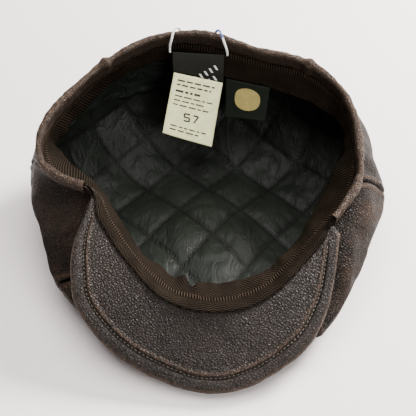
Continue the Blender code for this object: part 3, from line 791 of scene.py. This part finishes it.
def stitches(name, lines, ups, mat, body, sizes, aims=None):
    """Rows of stitches on paths in mm; ups are the surface's directions, aims default to the path's own."""
    points, edges = [], []
    for line in lines:
        first = len(points)
        points += ((np.asarray(line) + TO_MIDDLE) * MM).tolist()
        edges += [(first + k, first + k + 1) for k in range(len(line) - 1)]
    if aims is None:
        aims = [np.gradient(np.asarray(line), axis=0) for line in lines]
    mesh = bpy.data.meshes.new(name)
    mesh.from_pydata(points, edges, [])
    for key, values in (("aim", np.concatenate(aims)), ("up", np.concatenate(ups))):
        layer = mesh.attributes.new(key, "FLOAT_VECTOR", "POINT")
        layer.data.foreach_set("vector", unit(values).reshape(-1).astype(np.float32))
    obj = add_object(name, mesh)
    mod = obj.modifiers.new("stitches", "NODES")
    mod.node_group = STITCHES
    values = {key: size * MM for key, size in zip(STITCH_SIZES, sizes)}
    values["Material"] = mat
    for item in STITCHES.interface.items_tree:
        if item.in_out == "INPUT" and item.name in values:
            mod[item.identifier] = values[item.name]
    bake(obj)
    finish_piece(obj, mat, body)


# ---------------------------------------------------------------- bound rim
# The turned edge: its radius, its middle measured out from the rim's line, and its inner and outer legs (mm).
RIM_RADIUS = 2.3
RIM_MIDDLE = -1.0
RIM_INNER_LEG = 9.0
RIM_OUTER_LEG = 8
# Across the binding from its inner edge: both rows of stitches, the ridge between them, a rubbed strip (mm).
RIM_ROWS = (3.2, 7.6)
RIM_RIDGE_AT = 5.4
RIM_RUBBED_AT = 11.5
# Angles of the lumps where crown seams pass under the binding.
RIM_LUMPS = (44.0, 136.0)


def rim_binding():
    """Leather folded over the rim, gathered into small puckers by two rows of stitches."""
    angles = np.arange(BINDING_START - 1.5, BINDING_END + 1.6, 0.5)
    leg = np.linspace(RIM_INNER_LEG, 0, 13)
    arc = np.linspace(0, math.pi, 15)[1:]
    x = np.concatenate([np.full(13, RIM_MIDDLE + RIM_RADIUS), RIM_MIDDLE + RIM_RADIUS * np.cos(arc),
                        np.full(7, RIM_MIDDLE - RIM_RADIUS)])
    z = np.concatenate([-leg, RIM_RADIUS * np.sin(arc), -np.linspace(0, RIM_OUTER_LEG, 8)[1:]])
    top, out = rim_frame(angles)
    p = top[None] + out[None] * x[:, None, None] - DOWN * z[:, None, None]
    n, flip = turned_normals(p, (16, 50), top[50] + out[50] * RIM_MIDDLE + DOWN * 3)
    run = distance(top)
    around = distance(np.stack([x, z], -1))

    def ripple(size, y, z):
        return np.array([noise.noise(Vector((u / size, y, z))) for u in run])[None, :]

    dip = sum(hill(around, 0.55, r) for r in RIM_ROWS)[:, None]
    ridge = hill(around, 1.2, RIM_RIDGE_AT)[:, None]
    edge = hill(around, 0.8, 0.3)[:, None]
    lump = sum(hill(angles, 1.6, a) for a in RIM_LUMPS)[None, :]
    gather = ripple(3.1, 0.3, 8.1) * (0.35 + 0.25 * dip) + noise_at(p, 5, 2.2) * 0.5
    h = 1.5 * lump - 0.55 * dip + 0.3 * ridge - 0.5 * edge + gather + 0.8 * ripple(17, 4.3, 1.1)
    q = p + n * h[..., None]
    wear = 0.75 * ridge + 0.6 * hill(around, 2.4, RIM_RUBBED_AT)[:, None] + 0.2
    obj = grid_object("rim_binding_leather", q, (run, around[:, None]), flip=flip,
                      attributes={"wear": wear, "shade": 0.42 * dip + 0.6 * edge})
    solidify(obj, BINDING_SHEET)
    finish_piece(obj, LEATHER_RIM, "cap", ("rim_binding",))
    rows = [int(np.argmin(abs(around - r))) for r in RIM_ROWS]
    lines = [q[k] + n[k] * 0.2 for k in rows]
    stitches("rim_stitches", lines, [n[k] for k in rows], THREAD_BROWN, "cap", RIM_STITCH)


rim_binding()


# ---------------------------------------------------------------- sweatband
# Where the ribbon starts and bends under the rim, and how far the visor moves both of them (mm).
BAND_START = 1.2
BAND_START_FRONT = -0.7
BAND_BEND_FRONT = 0.8
BAND_OUT_FRONT = -1.8
BAND_IN_FRONT = 3.6
BAND_HALF = 0.35
# The ribbon's front folds over at one place, this far from its start along it (mm).
FOLD_AT = -12.0
FOLD_DOWN = 4.6


def band_surface(angle, v):
    """Middle of the ribbon: v 0 at its sewn edge, 1 at its free edge."""
    top, out = rim_frame(angle)
    share = front_share(angle)[..., None]
    middle = BAND_INSET + BAND_HALF
    start = BAND_START + (BAND_START_FRONT - BAND_START) * share
    turn = STAND + (BAND_BEND_FRONT - STAND) * share
    first = top + DOWN * start - out * (middle + (BAND_OUT_FRONT - middle) * share)
    second = top + DOWN * turn - out * (middle + (BAND_IN_FRONT - middle) * share)
    edge = station(angle, 3)
    bend = 0.28 - 0.1 * share
    v = np.asarray(v)[..., None]
    a = first + (second - first) * np.minimum(v / bend, 1)
    b = second + (edge - second) * np.maximum((v - bend) / (1 - bend), 0)
    straight = np.where(v < bend, a, b)
    curve = first * (1 - v) ** 2 + second * 2 * v * (1 - v) + edge * v ** 2
    return straight * 0.45 + curve * 0.55


def sweatband():
    """Herringbone ribbon with a row of open bars, its free edge rippled and folded over at one place."""
    count = 900
    angles = around_cap(count)
    v = np.linspace(0, 1, 34)[:, None]
    p = band_surface(angles[None, :], v)
    across = distance(p)
    run, total = closed_run(p[12])
    n, flip = turned_normals(p, (16, 0), (0, 0, 90.0), closed=True, towards=True)
    turn = run / total * 2 * math.pi
    ring = np.stack([np.cos(turn), np.sin(turn), np.zeros(count)], -1) * total / (2 * math.pi)
    ripple = noise_at(ring, 15, 6.6) * 2.6 + noise_at(ring, 5.5, 2.6) * 0.9
    h = v ** 2 * ripple[None, :] + noise_at(p, 9, 1.4) * 0.4
    past = (run - FOLD_AT + total / 2) % total - total / 2
    fold = hill(past, 3.2)[None, :] * smooth(v, 0.45, 1.0)
    bump = hill(past, 3.6, -7)[None, :] * smooth(v, 0.5, 1.0)
    slot = hill(across, 1.9, SLOT_AT, power=4)
    down = unit(p[-1] - p[-6])[None]
    h = h + bump * 2.4 - fold - slot * 0.22
    q = p + n * h[..., None] - down * (fold * FOLD_DOWN - bump * 1.6)[..., None]
    shade = slot + 0.35 * hill(across, 0.7, 0.4) + 0.5 * fold
    obj = grid_object("sweatband_ribbon", q, (run[None, :], across), closed=True, flip=flip,
                      attributes={"shade": np.clip(shade, 0, 1)})
    solidify(obj, RIBBON_SHEET)
    finish_piece(obj, RIBBON, "flex", ("sweatband",))
    line, aims, ups = [], [], []
    for k in list(range(count)) + [0]:
        j = int(np.argmin(abs(across[:, k] - SLOT_AT)))
        line.append(q[j, k] + n[j, k] * 0.28)
        aims.append(q[j + 1, k] - q[j - 1, k])
        ups.append(n[j, k])
    stitches("ribbon_bars", [line], [ups], RIBBON_BAR, "flex", BAND_BAR, [aims])


sweatband()


# ---------------------------------------------------------------- visor
# The seam lies this far outside the rim's line; an inset of TO_SEAM always reaches it (mm).
VISOR_SEAM_OUT = 0.8
TO_SEAM = 1000.0
# The stitched groove lies this far in from the edge; the visor closes over its board at both ends (mm).
GROOVE_IN = 8.6
GROOVE_DEPTH = 1.1
END_ROUND = 2.6
END_OUT = 1.6


def visor_point(u, inset, depth):
    """Points of the visor: u along it, inset back from its edge, depth down through it."""
    u, inset, depth = np.broadcast_arrays(*(np.asarray(x, float) for x in (u, inset, depth)))

    def flat(v, back):
        v = np.clip(v, 0, 1)
        top, out = rim_frame(VISOR_START + (VISOR_END - VISOR_START) * v)
        seam = top + out * VISOR_SEAM_OUT
        edge = open_curve(VISOR_EDGE, v)
        length = np.linalg.norm(edge - seam, axis=-1)
        return edge + (seam - edge) * np.minimum(back / length, 1.0)[..., None]

    along = flat(u + 0.01, inset) - flat(u - 0.01, inset)
    back = flat(u, np.full(u.shape, TO_SEAM)) - flat(u, np.zeros(u.shape))
    return flat(u, inset) - unit(np.cross(along, back)) * depth[..., None]


def visor_skin(name, node, under):
    """One leather face of the visor with a rolled edge and a stitched groove set in from it."""
    cols = 321
    half = cols // 2
    u = np.linspace(0, 1, cols)
    u = u - 0.12 * np.sin(4 * math.pi * u) / (4 * math.pi) - 0.85 * np.sin(2 * math.pi * u) / (2 * math.pi)
    u = u[None, :]
    seam, edge = visor_point(u, TO_SEAM, 0), visor_point(u, 0, 0)
    length = np.linalg.norm(edge - seam, axis=-1)
    share = np.linspace(1, 0, 74)[:, None] ** 1.25
    roll = np.linspace(0, math.pi * 0.47, 11)[1:, None] + np.zeros((1, cols))
    inset = np.concatenate([VISOR_ROLL + (length - VISOR_ROLL) * share, VISOR_ROLL * (1 - np.sin(roll))])
    lift = np.concatenate([np.zeros((74, cols)), VISOR_ROLL * (1 - np.cos(roll))])
    middle = visor_point(u, inset, VISOR_ROLL)
    p = visor_point(u, inset, lift if under else 2 * VISOR_ROLL - lift)
    n, flip = turned_normals(p, (40, half), middle[40, half])
    near = distance(edge[0])[None, :]
    from_seam = length - inset
    ends = smooth(length, 9, 20)
    groove_at = GROOVE_IN + noise_at(edge, 20, 3.3) * 0.5
    ridge = hill(inset - groove_at, 1.3, 2.2) * ends
    band = np.clip(1 - ((inset - 0.5 * groove_at) / (0.5 * groove_at)) ** 2, 0, 1) ** 0.7 * ends
    wave = noise_at(p, 30, 1.9) * 1.1 + noise_at(p, 9, 4.9) * 0.28
    h = 0.75 * ridge + 0.8 * band + wave * smooth(from_seam, 0, 10) - 0.5 * hill(from_seam, 2.2)
    h = h - GROOVE_DEPTH * hill(inset, 0.8, groove_at) * ends
    q = p + n * h[..., None]
    # Both faces draw together at the visor's ends and close over the board.
    past = np.clip(1 - np.minimum(near, near[:, -1:] - near) / END_ROUND, 0, 1)
    outward = np.concatenate([np.repeat(unit(p[:, :1] - p[:, 4:5]), half, axis=1),
                              np.repeat(unit(p[:, -1:] - p[:, -5:-4]), cols - half, axis=1)], axis=1)
    q = middle + (q - middle) * np.sqrt(1 - past ** 2)[..., None] + outward * (past * END_OUT)[..., None]
    wear = 0.9 * hill(inset, 1.3, 0.6) + 0.7 * ridge + 0.1
    shade = 0.95 * hill(inset, 0.6, groove_at) * ends + 0.7 * hill(from_seam, 1.2)
    margin = 1 - smooth(inset, groove_at - 0.5, groove_at + 1.5)
    obj = grid_object(name, q, (near, inset), flip=flip,
                      attributes={"wear": wear, "shade": shade, "margin": margin})
    solidify(obj, LEATHER_SHEET)
    finish_piece(obj, LEATHER_VISOR, "visor", (node,))
    line, ups = [], []
    for k in np.nonzero(length[0] > 14)[0]:
        j = int(np.argmin(abs(inset[:, k] - groove_at[0, k] - 0.15)))
        line.append(q[j, k] + n[j, k] * 0.3)
        ups.append(n[j, k])
    stitches(name + "_stitches", [line], [ups], THREAD_LIGHT, "visor", VISOR_STITCH)


visor_skin("visor_underside_leather", "visor_underside", True)
visor_skin("visor_top_leather", "visor_top", False)


# ---------------------------------------------------------------- lining
LINE_INSET, LINE_BODY = 1.3, 8.0
# Mesh squares along the side of a diamond, how many diamonds the quilting reaches, and their side (mm).
CELL = 12
REACH = 7 * CELL
DIAMOND_SIDE = 25
# Depth of a row of diamonds at the middle, how much closer each next row is, and the rows at front and back.
ROW_STEP = 26.5
ROW_CLOSER = 3
ROW_STEP_FRONT = 31
ROW_STEP_BACK = 20.5
TAPER_ROWS = 2
# Half the width of a diamond, and how the pattern lies off the middle.
DIAMOND_HALF = 20.9
PATTERN_RIGHT = 2.6
PATTERN_LEAN = 1.4
STEPS_PER_DEGREE = 2


def lattice(q1, q2):
    """Plan place of a point of the quilting, whose lines run at whole numbers of q1 and q2."""
    s, along = q1 - q2, q1 + q2
    w = ROW_STEP - ROW_CLOSER * np.clip(s, -TAPER_ROWS, TAPER_ROWS)
    y = (ROW_STEP ** 2 - w ** 2) / (2 * ROW_CLOSER) + CENTRE[1]
    y = y + np.maximum(s - TAPER_ROWS, 0) * ROW_STEP_BACK + np.minimum(s + TAPER_ROWS, 0) * ROW_STEP_FRONT
    return PATTERN_RIGHT - PATTERN_LEAN * s + DIAMOND_HALF * along, y


def unrolled():
    """Ways to turn plan places into bowl coordinates: direction to angle and distance to t."""
    angles = np.linspace(-90, 270, 360 * STEPS_PER_DEGREE + 1)
    t = np.linspace(4, 1, 301)
    far = HOLE + distance(bowl(angles[None, :], t[:, None], LINE_INSET, LINE_BODY))
    wide = station(angles, 2) - CENTRE
    way = np.unwrap(np.arctan2(wide[:, 1], wide[:, 0]))
    return angles, t, far, way


UNROLLED = unrolled()


def unroll(x, y):
    """Bowl coordinates of plan places: angle, t."""
    angles, t, far, way = UNROLLED
    y = y - CENTRE[1]
    away = np.hypot(x, y)
    turn = np.arctan2(y, x)
    turn = (turn - way[0]) % (2 * math.pi) + way[0]
    angle = np.interp(turn, way, angles)
    column = np.clip((angle + 90) * STEPS_PER_DEGREE, 0, len(angles) - 1.001)
    i = column.astype(int)
    f = column - i
    result = np.empty_like(angle)
    for k in range(len(angle)):
        reach = far[:, i[k]] * (1 - f[k]) + far[:, i[k] + 1] * f[k]
        result[k] = np.interp(away[k], reach, t)
    return angle, result


def lining_grid(limit):
    """Square cells in step with the quilting over the crown, up its wall to t = limit."""
    span = np.arange(-REACH, REACH + 1)
    i, j = np.meshgrid(span, span, indexing="ij")
    i, j = i.reshape(-1), j.reshape(-1)
    x, y = lattice(i / CELL, j / CELL)
    near = (np.hypot(x, y - CENTRE[1]) < 175) & (abs(x) < 160) & (abs(y) < 170)
    i, j, x, y = i[near], j[near], x[near], y[near]
    angle, t = unroll(x, y)
    keep = t > limit
    i, j, x, y, angle, t = i[keep], j[keep], x[keep], y[keep], angle[keep], t[keep]
    p = bowl(angle, t, LINE_INSET, LINE_BODY)
    away = np.hypot(x, y - CENTRE[1])
    hub = away < HOLE
    p[hub] = np.stack([x[hub], y[hub], np.full(hub.sum(), LINE_BODY + DISH_DEPTH)], -1)
    p[..., 2] += DISH_DEPTH * (1 - smooth(away, 8, 70)) * 1.15 - dish(away)
    index = {place: k for k, place in enumerate(zip(i.tolist(), j.tolist()))}
    faces = []
    for (a, b), k in index.items():
        ring = [index.get(c) for c in ((a, b), (a + 1, b), (a + 1, b + 1), (a, b + 1))]
        if None not in ring:
            faces.append(ring)
    return i, j, p, faces


# Settings of the satin's cloth simulation, and how many frames it settles for.
SATIN_CLOTH = {
    "quality": 7, "mass": 0.12, "pin_stiffness": 3, "air_damping": 2,
    "tension_stiffness": 12, "compression_stiffness": 12, "shear_stiffness": 4, "bending_stiffness": 0.35,
    "tension_damping": 12, "compression_damping": 12, "shear_damping": 12,
    "use_pressure": True, "uniform_pressure_force": 1.3, "shrink_min": -0.006,
}
CLOTH_FRAMES = 20


def cloth(obj, pins):
    """Let the fabric puff out between its pinned places, and keep the shape it reaches."""
    mod = obj.modifiers.new("cloth", "CLOTH")
    for key, value in SATIN_CLOTH.items():
        setattr(mod.settings, key, value)
    mod.settings.effector_weights.gravity = 0
    mod.settings.vertex_group_mass = pins
    mod.collision_settings.use_collision = False
    scene = bpy.context.scene
    for timed in (scene, mod.point_cache):
        timed.frame_start, timed.frame_end = 1, CLOTH_FRAMES
    for f in range(1, CLOTH_FRAMES + 1):
        scene.frame_set(f)
    bake(obj)
    scene.frame_set(1)


def normals_of(mesh):
    return np.array([v.normal for v in mesh.vertices])


def move(mesh, height):
    """Push each point of a mesh out along its normal, by its own height in mm."""
    co = np.array([v.co for v in mesh.vertices]) + normals_of(mesh) * (height * MM)[:, None]
    mesh.vertices.foreach_set("co", co.reshape(-1).astype(np.float32))
    mesh.update()


# How far a diamond sags over the seam below it (mm).
LEAN = 1.2


def lean(i, j):
    """The diamonds sag towards the front, so each one laps a little over the seams below it."""
    a, b = (i % CELL) / CELL, (j % CELL) / CELL
    cell = np.stack([np.floor(i / CELL), np.floor(j / CELL), np.zeros(len(i))], -1)
    swing = noise_at(cell * 7.3, 1.0, 0.37) * 0.5 + 1

    def lap(w):
        return (1 - w) * np.maximum(w, 0) ** 0.5 / 0.385

    left = lap(1 - b) * np.sin(math.pi * a) ** 0.5
    right = lap(a) * np.sin(math.pi * b) ** 0.5
    return LEAN * swing * left, LEAN * swing * right


def quilting_lines(i, j):
    """Rows of mesh points along the lines of the quilting, both ways."""
    place = {at: k for k, at in enumerate(zip(i.tolist(), j.tolist()))}
    chains = []
    for way in (0, 1):
        for whole in range(-REACH, REACH + 1, CELL):
            chain = []
            for k in range(-REACH, REACH + 1):
                at = place.get((whole, k) if way == 0 else (k, whole))
                if at is not None:
                    chain.append(at)
                if (at is None or k == REACH) and len(chain) > 5:
                    chains.append(chain)
                if at is None:
                    chain = []
    return chains


PUFF_START = 0.6


def lining_top():
    """Satin sewn down in diamonds, each puffed by its wadding."""
    i, j, p, faces = lining_grid(1.9)
    used = sorted({k for f in faces for k in f})
    new = {k: m for m, k in enumerate(used)}
    faces = [tuple(new[k] for k in f) for f in faces]
    i, j, p = i[used], j[used], p[used]
    mesh = bpy.data.meshes.new("lining_top_satin")
    mesh.from_pydata(((p + TO_MIDDLE) * MM).tolist(), [], faces)
    mesh.update()
    if sum(f.normal.z for f in mesh.polygons) < 0:
        mesh.flip_normals()
    obj = add_object("lining_top_satin", mesh)
    line = (i % CELL == 0) | (j % CELL == 0)
    rim = np.bincount(np.ravel(faces), minlength=len(used)) < 4
    group = obj.vertex_groups.new(name="pins")
    group.add(np.nonzero(line | rim)[0].tolist(), 1.0, "REPLACE")
    a, b = (i % CELL) / CELL, (j % CELL) / CELL
    puff = np.sqrt(np.sin(math.pi * a) * np.sin(math.pi * b))
    move(mesh, puff * PUFF_START)
    cloth(obj, "pins")
    mesh = obj.data
    side = smooth(np.array([v.co.x for v in mesh.vertices]) / MM, -30, 30)
    left, right = lean(i, j)
    move(mesh, np.where(line, 0, (1 - side) * left + side * right))
    near = np.minimum(np.minimum(a, 1 - a), np.minimum(b, 1 - b)) * DIAMOND_SIDE
    store(mesh, "shade", 0.5 * hill(near, 0.7))
    ends = np.empty(len(mesh.edges) * 2, np.int32)
    mesh.edges.foreach_get("vertices", ends)
    store(mesh, "crease_edge", line[ends.reshape(-1, 2)].all(axis=1), "EDGE")
    co = np.array([v.co for v in mesh.vertices])
    normals = normals_of(mesh)
    finer = obj.modifiers.new("finer", "SUBSURF")
    finer.levels = finer.render_levels = 1
    bake(obj)
    obj.data.polygons.foreach_set("use_smooth", [True] * len(obj.data.polygons))
    solidify(obj, SATIN_SHEET)
    finish_piece(obj, SATIN_TOP, "flex", ("lining_top",))
    chains = quilting_lines(i, j)
    lines = [co[c] / MM - TO_MIDDLE + normals[c] * 0.12 for c in chains]
    stitches("quilting_stitches", lines, [normals[c] for c in chains], THREAD_DARK, "flex",
             QUILT_STITCH)


lining_top()


def lining_side():
    """Satin side wall: hangs from the ribbon in loose folds and turns under at its seam to the top."""
    t = np.concatenate([np.linspace(0.05, 1, 8)[:-1], np.linspace(1, 2.05, 40)])[:, None]
    p = bowl(around_cap(640)[None, :], t, LINE_INSET, LINE_BODY)
    n, flip = turned_normals(p, (30, 0), (0, 0, 60.0), closed=True, towards=True)
    loose = noise_at(p * (1, 1, 0.35), 13, 7.7) * 3.6 + noise_at(p, 7, 3.1) * 1.2
    h = np.maximum(1.0 + smooth(t, 1.0, 1.3) * loose, 0.9)
    under = smooth(t, 2.02, 2.05)
    h = h + 0.8 * hill(t, 0.035, 2.0) - 1.4 * under
    run = closed_run(p[20])[0]
    obj = grid_object("lining_side_satin", p + n * h[..., None], (run[None, :], distance(p)), closed=True,
                      flip=flip, attributes={"shade": 0.5 * under})
    solidify(obj, SATIN_SHEET)
    finish_piece(obj, SATIN_SIDE_PAINTED_LIGHT, "flex", ("lining_side",))


lining_side()


# ---------------------------------------------------------------- wadding
# How much of the space it fills, and where each piece runs from and to down the crown.
WADDING_SHARE = 0.6
WADDINGS = {"wadding_side": (1.72, 1.94, 8), "wadding_top": (2.06, 3.96, 28)}


def wadding():
    """White fibre between the leather and the satin, thinner than the space it fills."""
    angles = around_cap(120)[None, :]
    for name, span in WADDINGS.items():
        t = np.linspace(*span)[:, None]
        outer = bowl(angles, t, LEATHER, LEATHER)
        inner = bowl(angles, t, LINE_INSET, LINE_BODY)
        p = outer + (inner - outer) * WADDING_SHARE
        n, flip = turned_normals(p, (4, 0), (0, 0, 60.0), closed=True, towards=True)
        p = p + n * (noise_at(p, 8, 2.0) * 0.3)[..., None]
        obj = grid_object(name + "_fibre", p, closed=True, flip=flip)
        solidify(obj, WADDING_SHEET, 0.0)
        finish_piece(obj, WADDING, "flex", (name,))


wadding()


# ---------------------------------------------------------------- button
# The covered button: its radius, how far it stands out, and the two steps by which its cover turns in (mm).
BUTTON_RADIUS = 11.0
BUTTON_DOME = 4.6
BUTTON_TURN = (10.6, 10.0)


def button():
    """Leather-covered button under the middle of the crown."""
    face = DISH_DEPTH - 0.3
    w = np.linspace(0, math.radians(90), 16)
    r = np.concatenate([BUTTON_RADIUS * np.sin(w), BUTTON_TURN])
    z = np.concatenate([face - BUTTON_DOME * np.cos(w), [face + 0.05, face]])
    r[0] = 0.02
    r, z = r[:, None], z[:, None]
    ring = circle(72)[None, :]
    p = np.stack([r * np.cos(ring), r * np.sin(ring), z + 0 * ring], -1) + CENTRE
    n, flip = turned_normals(p, (8, 0), CENTRE + (0, 0, 60), closed=True)
    q = p + n * (noise_at(p, 6, 3.0) * 0.25)[..., None]
    obj = grid_object("button_leather", q, (ring * BUTTON_RADIUS, r), closed=True, flip=flip,
                      attributes={"wear": 0.5 * smooth(r, 8.5, 10.8), "shade": 0})
    solidify(obj, BUTTON_SHEET)
    finish_piece(obj, LEATHER_CROWN, "cap", ("button_cover",))


button()


# ---------------------------------------------------------------- labels
# Corners of each label (mm): top left, top right, bottom right, bottom left.
BRAND = [(-23, 76.4, 97.4), (10.5, 74.6, 96.2), (10.0, 73.0, 72.0), (-22.5, 73.8, 72.0)]
CARE = [(-22, 72.2, 84.0), (9.6, 71.4, 76.0), (2.5, 54.4, 35.0), (-30, 55.6, 47.0)]
TAB = [(11.6, 72.6, 78.5), (40, 65.6, 76.5), (37.5, 61.8, 52.0), (11.2, 68.0, 49.5)]
# Direction in which the labels' seen faces point, and how far print stands off them and sinks into them (mm).
SEEN = np.array((0, -1, 1.0))
PRINT_LIFT = 0.1
PRINT_FOOT = 0.02
# Rows of print on the care label: height on it, both ends, and half the height of the print.
CARE_ROWS = [
    (0.10, 0.10, 0.86, 0.012), (0.17, 0.10, 0.80, 0.012), (0.27, 0.10, 0.60, 0.017),
    (0.35, 0.10, 0.88, 0.010), (0.42, 0.10, 0.74, 0.010), (0.49, 0.10, 0.82, 0.010),
    (0.83, 0.12, 0.84, 0.010), (0.89, 0.12, 0.70, 0.010),
]
WORD_GAP = 0.035
OVAL_ROWS = 41


def label(name, corners, sag, wave, seed, mat, thick=LABEL_SHEET):
    """A label with a bow down its length and a sideways curl; gives the way to place marks on its face."""
    tl, tr, br, bl = np.array(corners, float)
    face = unit(np.cross(tr - tl, bl - tl))
    out = 1 if np.sum(face * SEEN) > 0 else -1

    def at(u, v, lift=0.0):
        """Points across the label: u from its left side, v down from its stitched edge."""
        u, v = np.broadcast_arrays(np.asarray(u, float), np.asarray(v, float))
        bow = sag * np.sin(math.pi * np.clip(v, 0, 1)) + wave * np.sin(math.pi * u * 1.3 + seed) * v
        u, v = u[..., None], v[..., None]
        flat = (tl * (1 - u) + tr * u) * (1 - v) + (bl * (1 - u) + br * u) * v
        return flat + face * (bow + out * lift)[..., None]

    u, v = np.meshgrid(np.linspace(0, 1, 41), np.linspace(0, 1, 61))
    p = at(u, v)
    wide, tall = np.linalg.norm(tr - tl), np.linalg.norm(bl - tl)
    flip = np.sum(grid_normals(p)[20, 20] * SEEN) < 0
    obj = grid_object(name + "_cloth", p, (u * wide, v * tall), flip=flip, attributes={"shade": 0})
    solidify(obj, thick)
    finish_piece(obj, mat, name, (name,))
    return at


def marks(name, at, shapes, mat, body):
    """Thin printed or woven shapes, each a strip between two places on a label with its own width."""
    steps = 5
    verts, faces = [], []
    for (u0, v0), (u1, v1), half_u, half_v in shapes:
        base = len(verts)
        for k in range(steps):
            f = k / (steps - 1)
            u, v = u0 + (u1 - u0) * f, v0 + (v1 - v0) * f
            verts += [at(u + side * half_u, v + side * half_v, lift)
                      for side in (-1, 1) for lift in (PRINT_LIFT, PRINT_FOOT)]
        for k in range(steps - 1):
            a, b = base + 4 * k, base + 4 * (k + 1)
            faces += [(a, a + 2, b + 2, b), (a + 1, b + 1, b + 3, a + 3), (a, b, b + 1, a + 1),
                      (a + 2, a + 3, b + 3, b + 2)]
        a, b = base, base + 4 * (steps - 1)
        faces += [(a, a + 1, a + 3, a + 2), (b, b + 2, b + 3, b + 1)]
    mesh = bpy.data.meshes.new(name)
    mesh.from_pydata([tuple((v + TO_MIDDLE) * MM) for v in verts], [], faces)
    closed = bmesh.new()
    closed.from_mesh(mesh)
    bmesh.ops.recalc_face_normals(closed, faces=closed.faces[:])
    closed.to_mesh(mesh)
    closed.free()
    finish_piece(add_object(name, mesh), mat, body)


def words(u0, u1, v, tall, seed):
    """A line of print as plain dashes of differing length."""
    draw = random.Random(seed)
    shapes = []
    u = u0
    while u < u1 - 0.03:
        end = min(u + draw.uniform(0.05, 0.16), u1)
        shapes.append(((u, v), (end, v), 0.0, tall))
        u = end + WORD_GAP
    return shapes


def number_57(u, v):
    """The size number from straight strokes."""
    w, h, s = 0.11, 0.055, 0.012
    upright = s * 1.3
    strokes = [
        ((u + w, v), (u, v), 0.0, s), ((u, v), (u, v + h), upright, 0.0),
        ((u, v + h), (u + w, v + h), 0.0, s), ((u + w, v + h), (u + w, v + 2 * h), upright, 0.0),
        ((u + w, v + 2 * h), (u, v + 2 * h), 0.0, s),
    ]
    u = u + w + 0.06
    return strokes + [((u, v), (u + w, v), 0.0, s), ((u + w, v), (u + 0.35 * w, v + 2 * h), upright, 0.0)]


def labels():
    """The black label with slanted bars, the cream one with rows of print, and the tab with its oval."""
    at = label("brand_label", BRAND, -0.5, 0.4, 0.5, LABEL_BLACK)
    bars = []
    for row, count in ((0, 6), (1, 5)):
        for k in range(count):
            u, v = 0.34 + 0.095 * k + 0.08 * row, 0.80 - 0.095 * k + 0.24 * row
            if v < 0.92:
                bars.append(((u, v), (u + 0.055, v + 0.13), 0.021, 0.0))
    marks("brand_label_bars", at, bars, LABEL_WHITE, "brand_label")
    at = label("care_label", CARE, 0.8, -0.7, 0.4, LABEL_CREAM)
    lines = []
    for k, (v, a, b, tall) in enumerate(CARE_ROWS):
        lines += words(a, b, v, tall, 20 + k)
    lines += number_57(0.36, 0.60)
    marks("care_label_print", at, lines, LABEL_PRINT, "care_label")
    at = label("leather_tab", TAB, 0.7, 0.5, 0.2, TAB_SATIN, TAB_SHEET)
    oval = []
    for k in range(OVAL_ROWS):
        v = -1 + (2 * k + 1) / OVAL_ROWS
        half = math.sqrt(max(1 - abs(v) ** 2.6, 0.02)) * 0.3
        oval.append(((0.52 - half, 0.46 + v * 0.31), (0.52 + half, 0.46 + v * 0.31), 0.0, 0.0079))
    marks("leather_tab_print", at, oval, TAB_GOLD, "leather_tab")


labels()


# ---------------------------------------------------------------- ground and light
GROUND_HALF = 3.0
LIGHTS_AIM = (0, 0, 40)


def ground():
    """Plain pale floor."""
    mesh = bpy.data.meshes.new("ground")
    corners = [(x * GROUND_HALF, y * GROUND_HALF, 0) for x, y in ((-1, -1), (1, -1), (1, 1), (-1, 1))]
    mesh.from_pydata(corners, [], [(0, 1, 2, 3)])
    t = Tree("ground")
    t.set(Base_Color=(0.80, 0.738, 0.725), Roughness=0.9, Specular_IOR_Level=0.1)
    mesh.materials.append(t.mat)
    add_object("ground", mesh)


def area_light(name, place, size, power, color):
    """Round soft light, aimed at the cap."""
    data = bpy.data.lights.new(name, "AREA")
    data.shape = "DISK"
    data.size = size * MM
    data.energy = power
    data.color = color
    obj = add_object(name, data)
    obj.location = Vector(place) * MM
    obj.rotation_euler = (Vector(LIGHTS_AIM) - Vector(place)).to_track_quat("-Z", "Y").to_euler()


def sky(color, strength):
    world = bpy.data.worlds.new("studio")
    world.use_nodes = True
    shade = world.node_tree.nodes["Background"]
    shade.inputs["Color"].default_value = (*color, 1)
    shade.inputs["Strength"].default_value = strength
    bpy.context.scene.world = world


ground()
area_light("key", (740, 600, 720), 400, 58, (1.0, 0.98, 0.955))
area_light("fill", (560, -760, 560), 520, 9, (1.0, 0.99, 0.98))
area_light("overhead", (0, 60, 1700), 1900, 60, (1.0, 0.99, 0.985))
sky((1.0, 0.975, 0.965), 0.19)
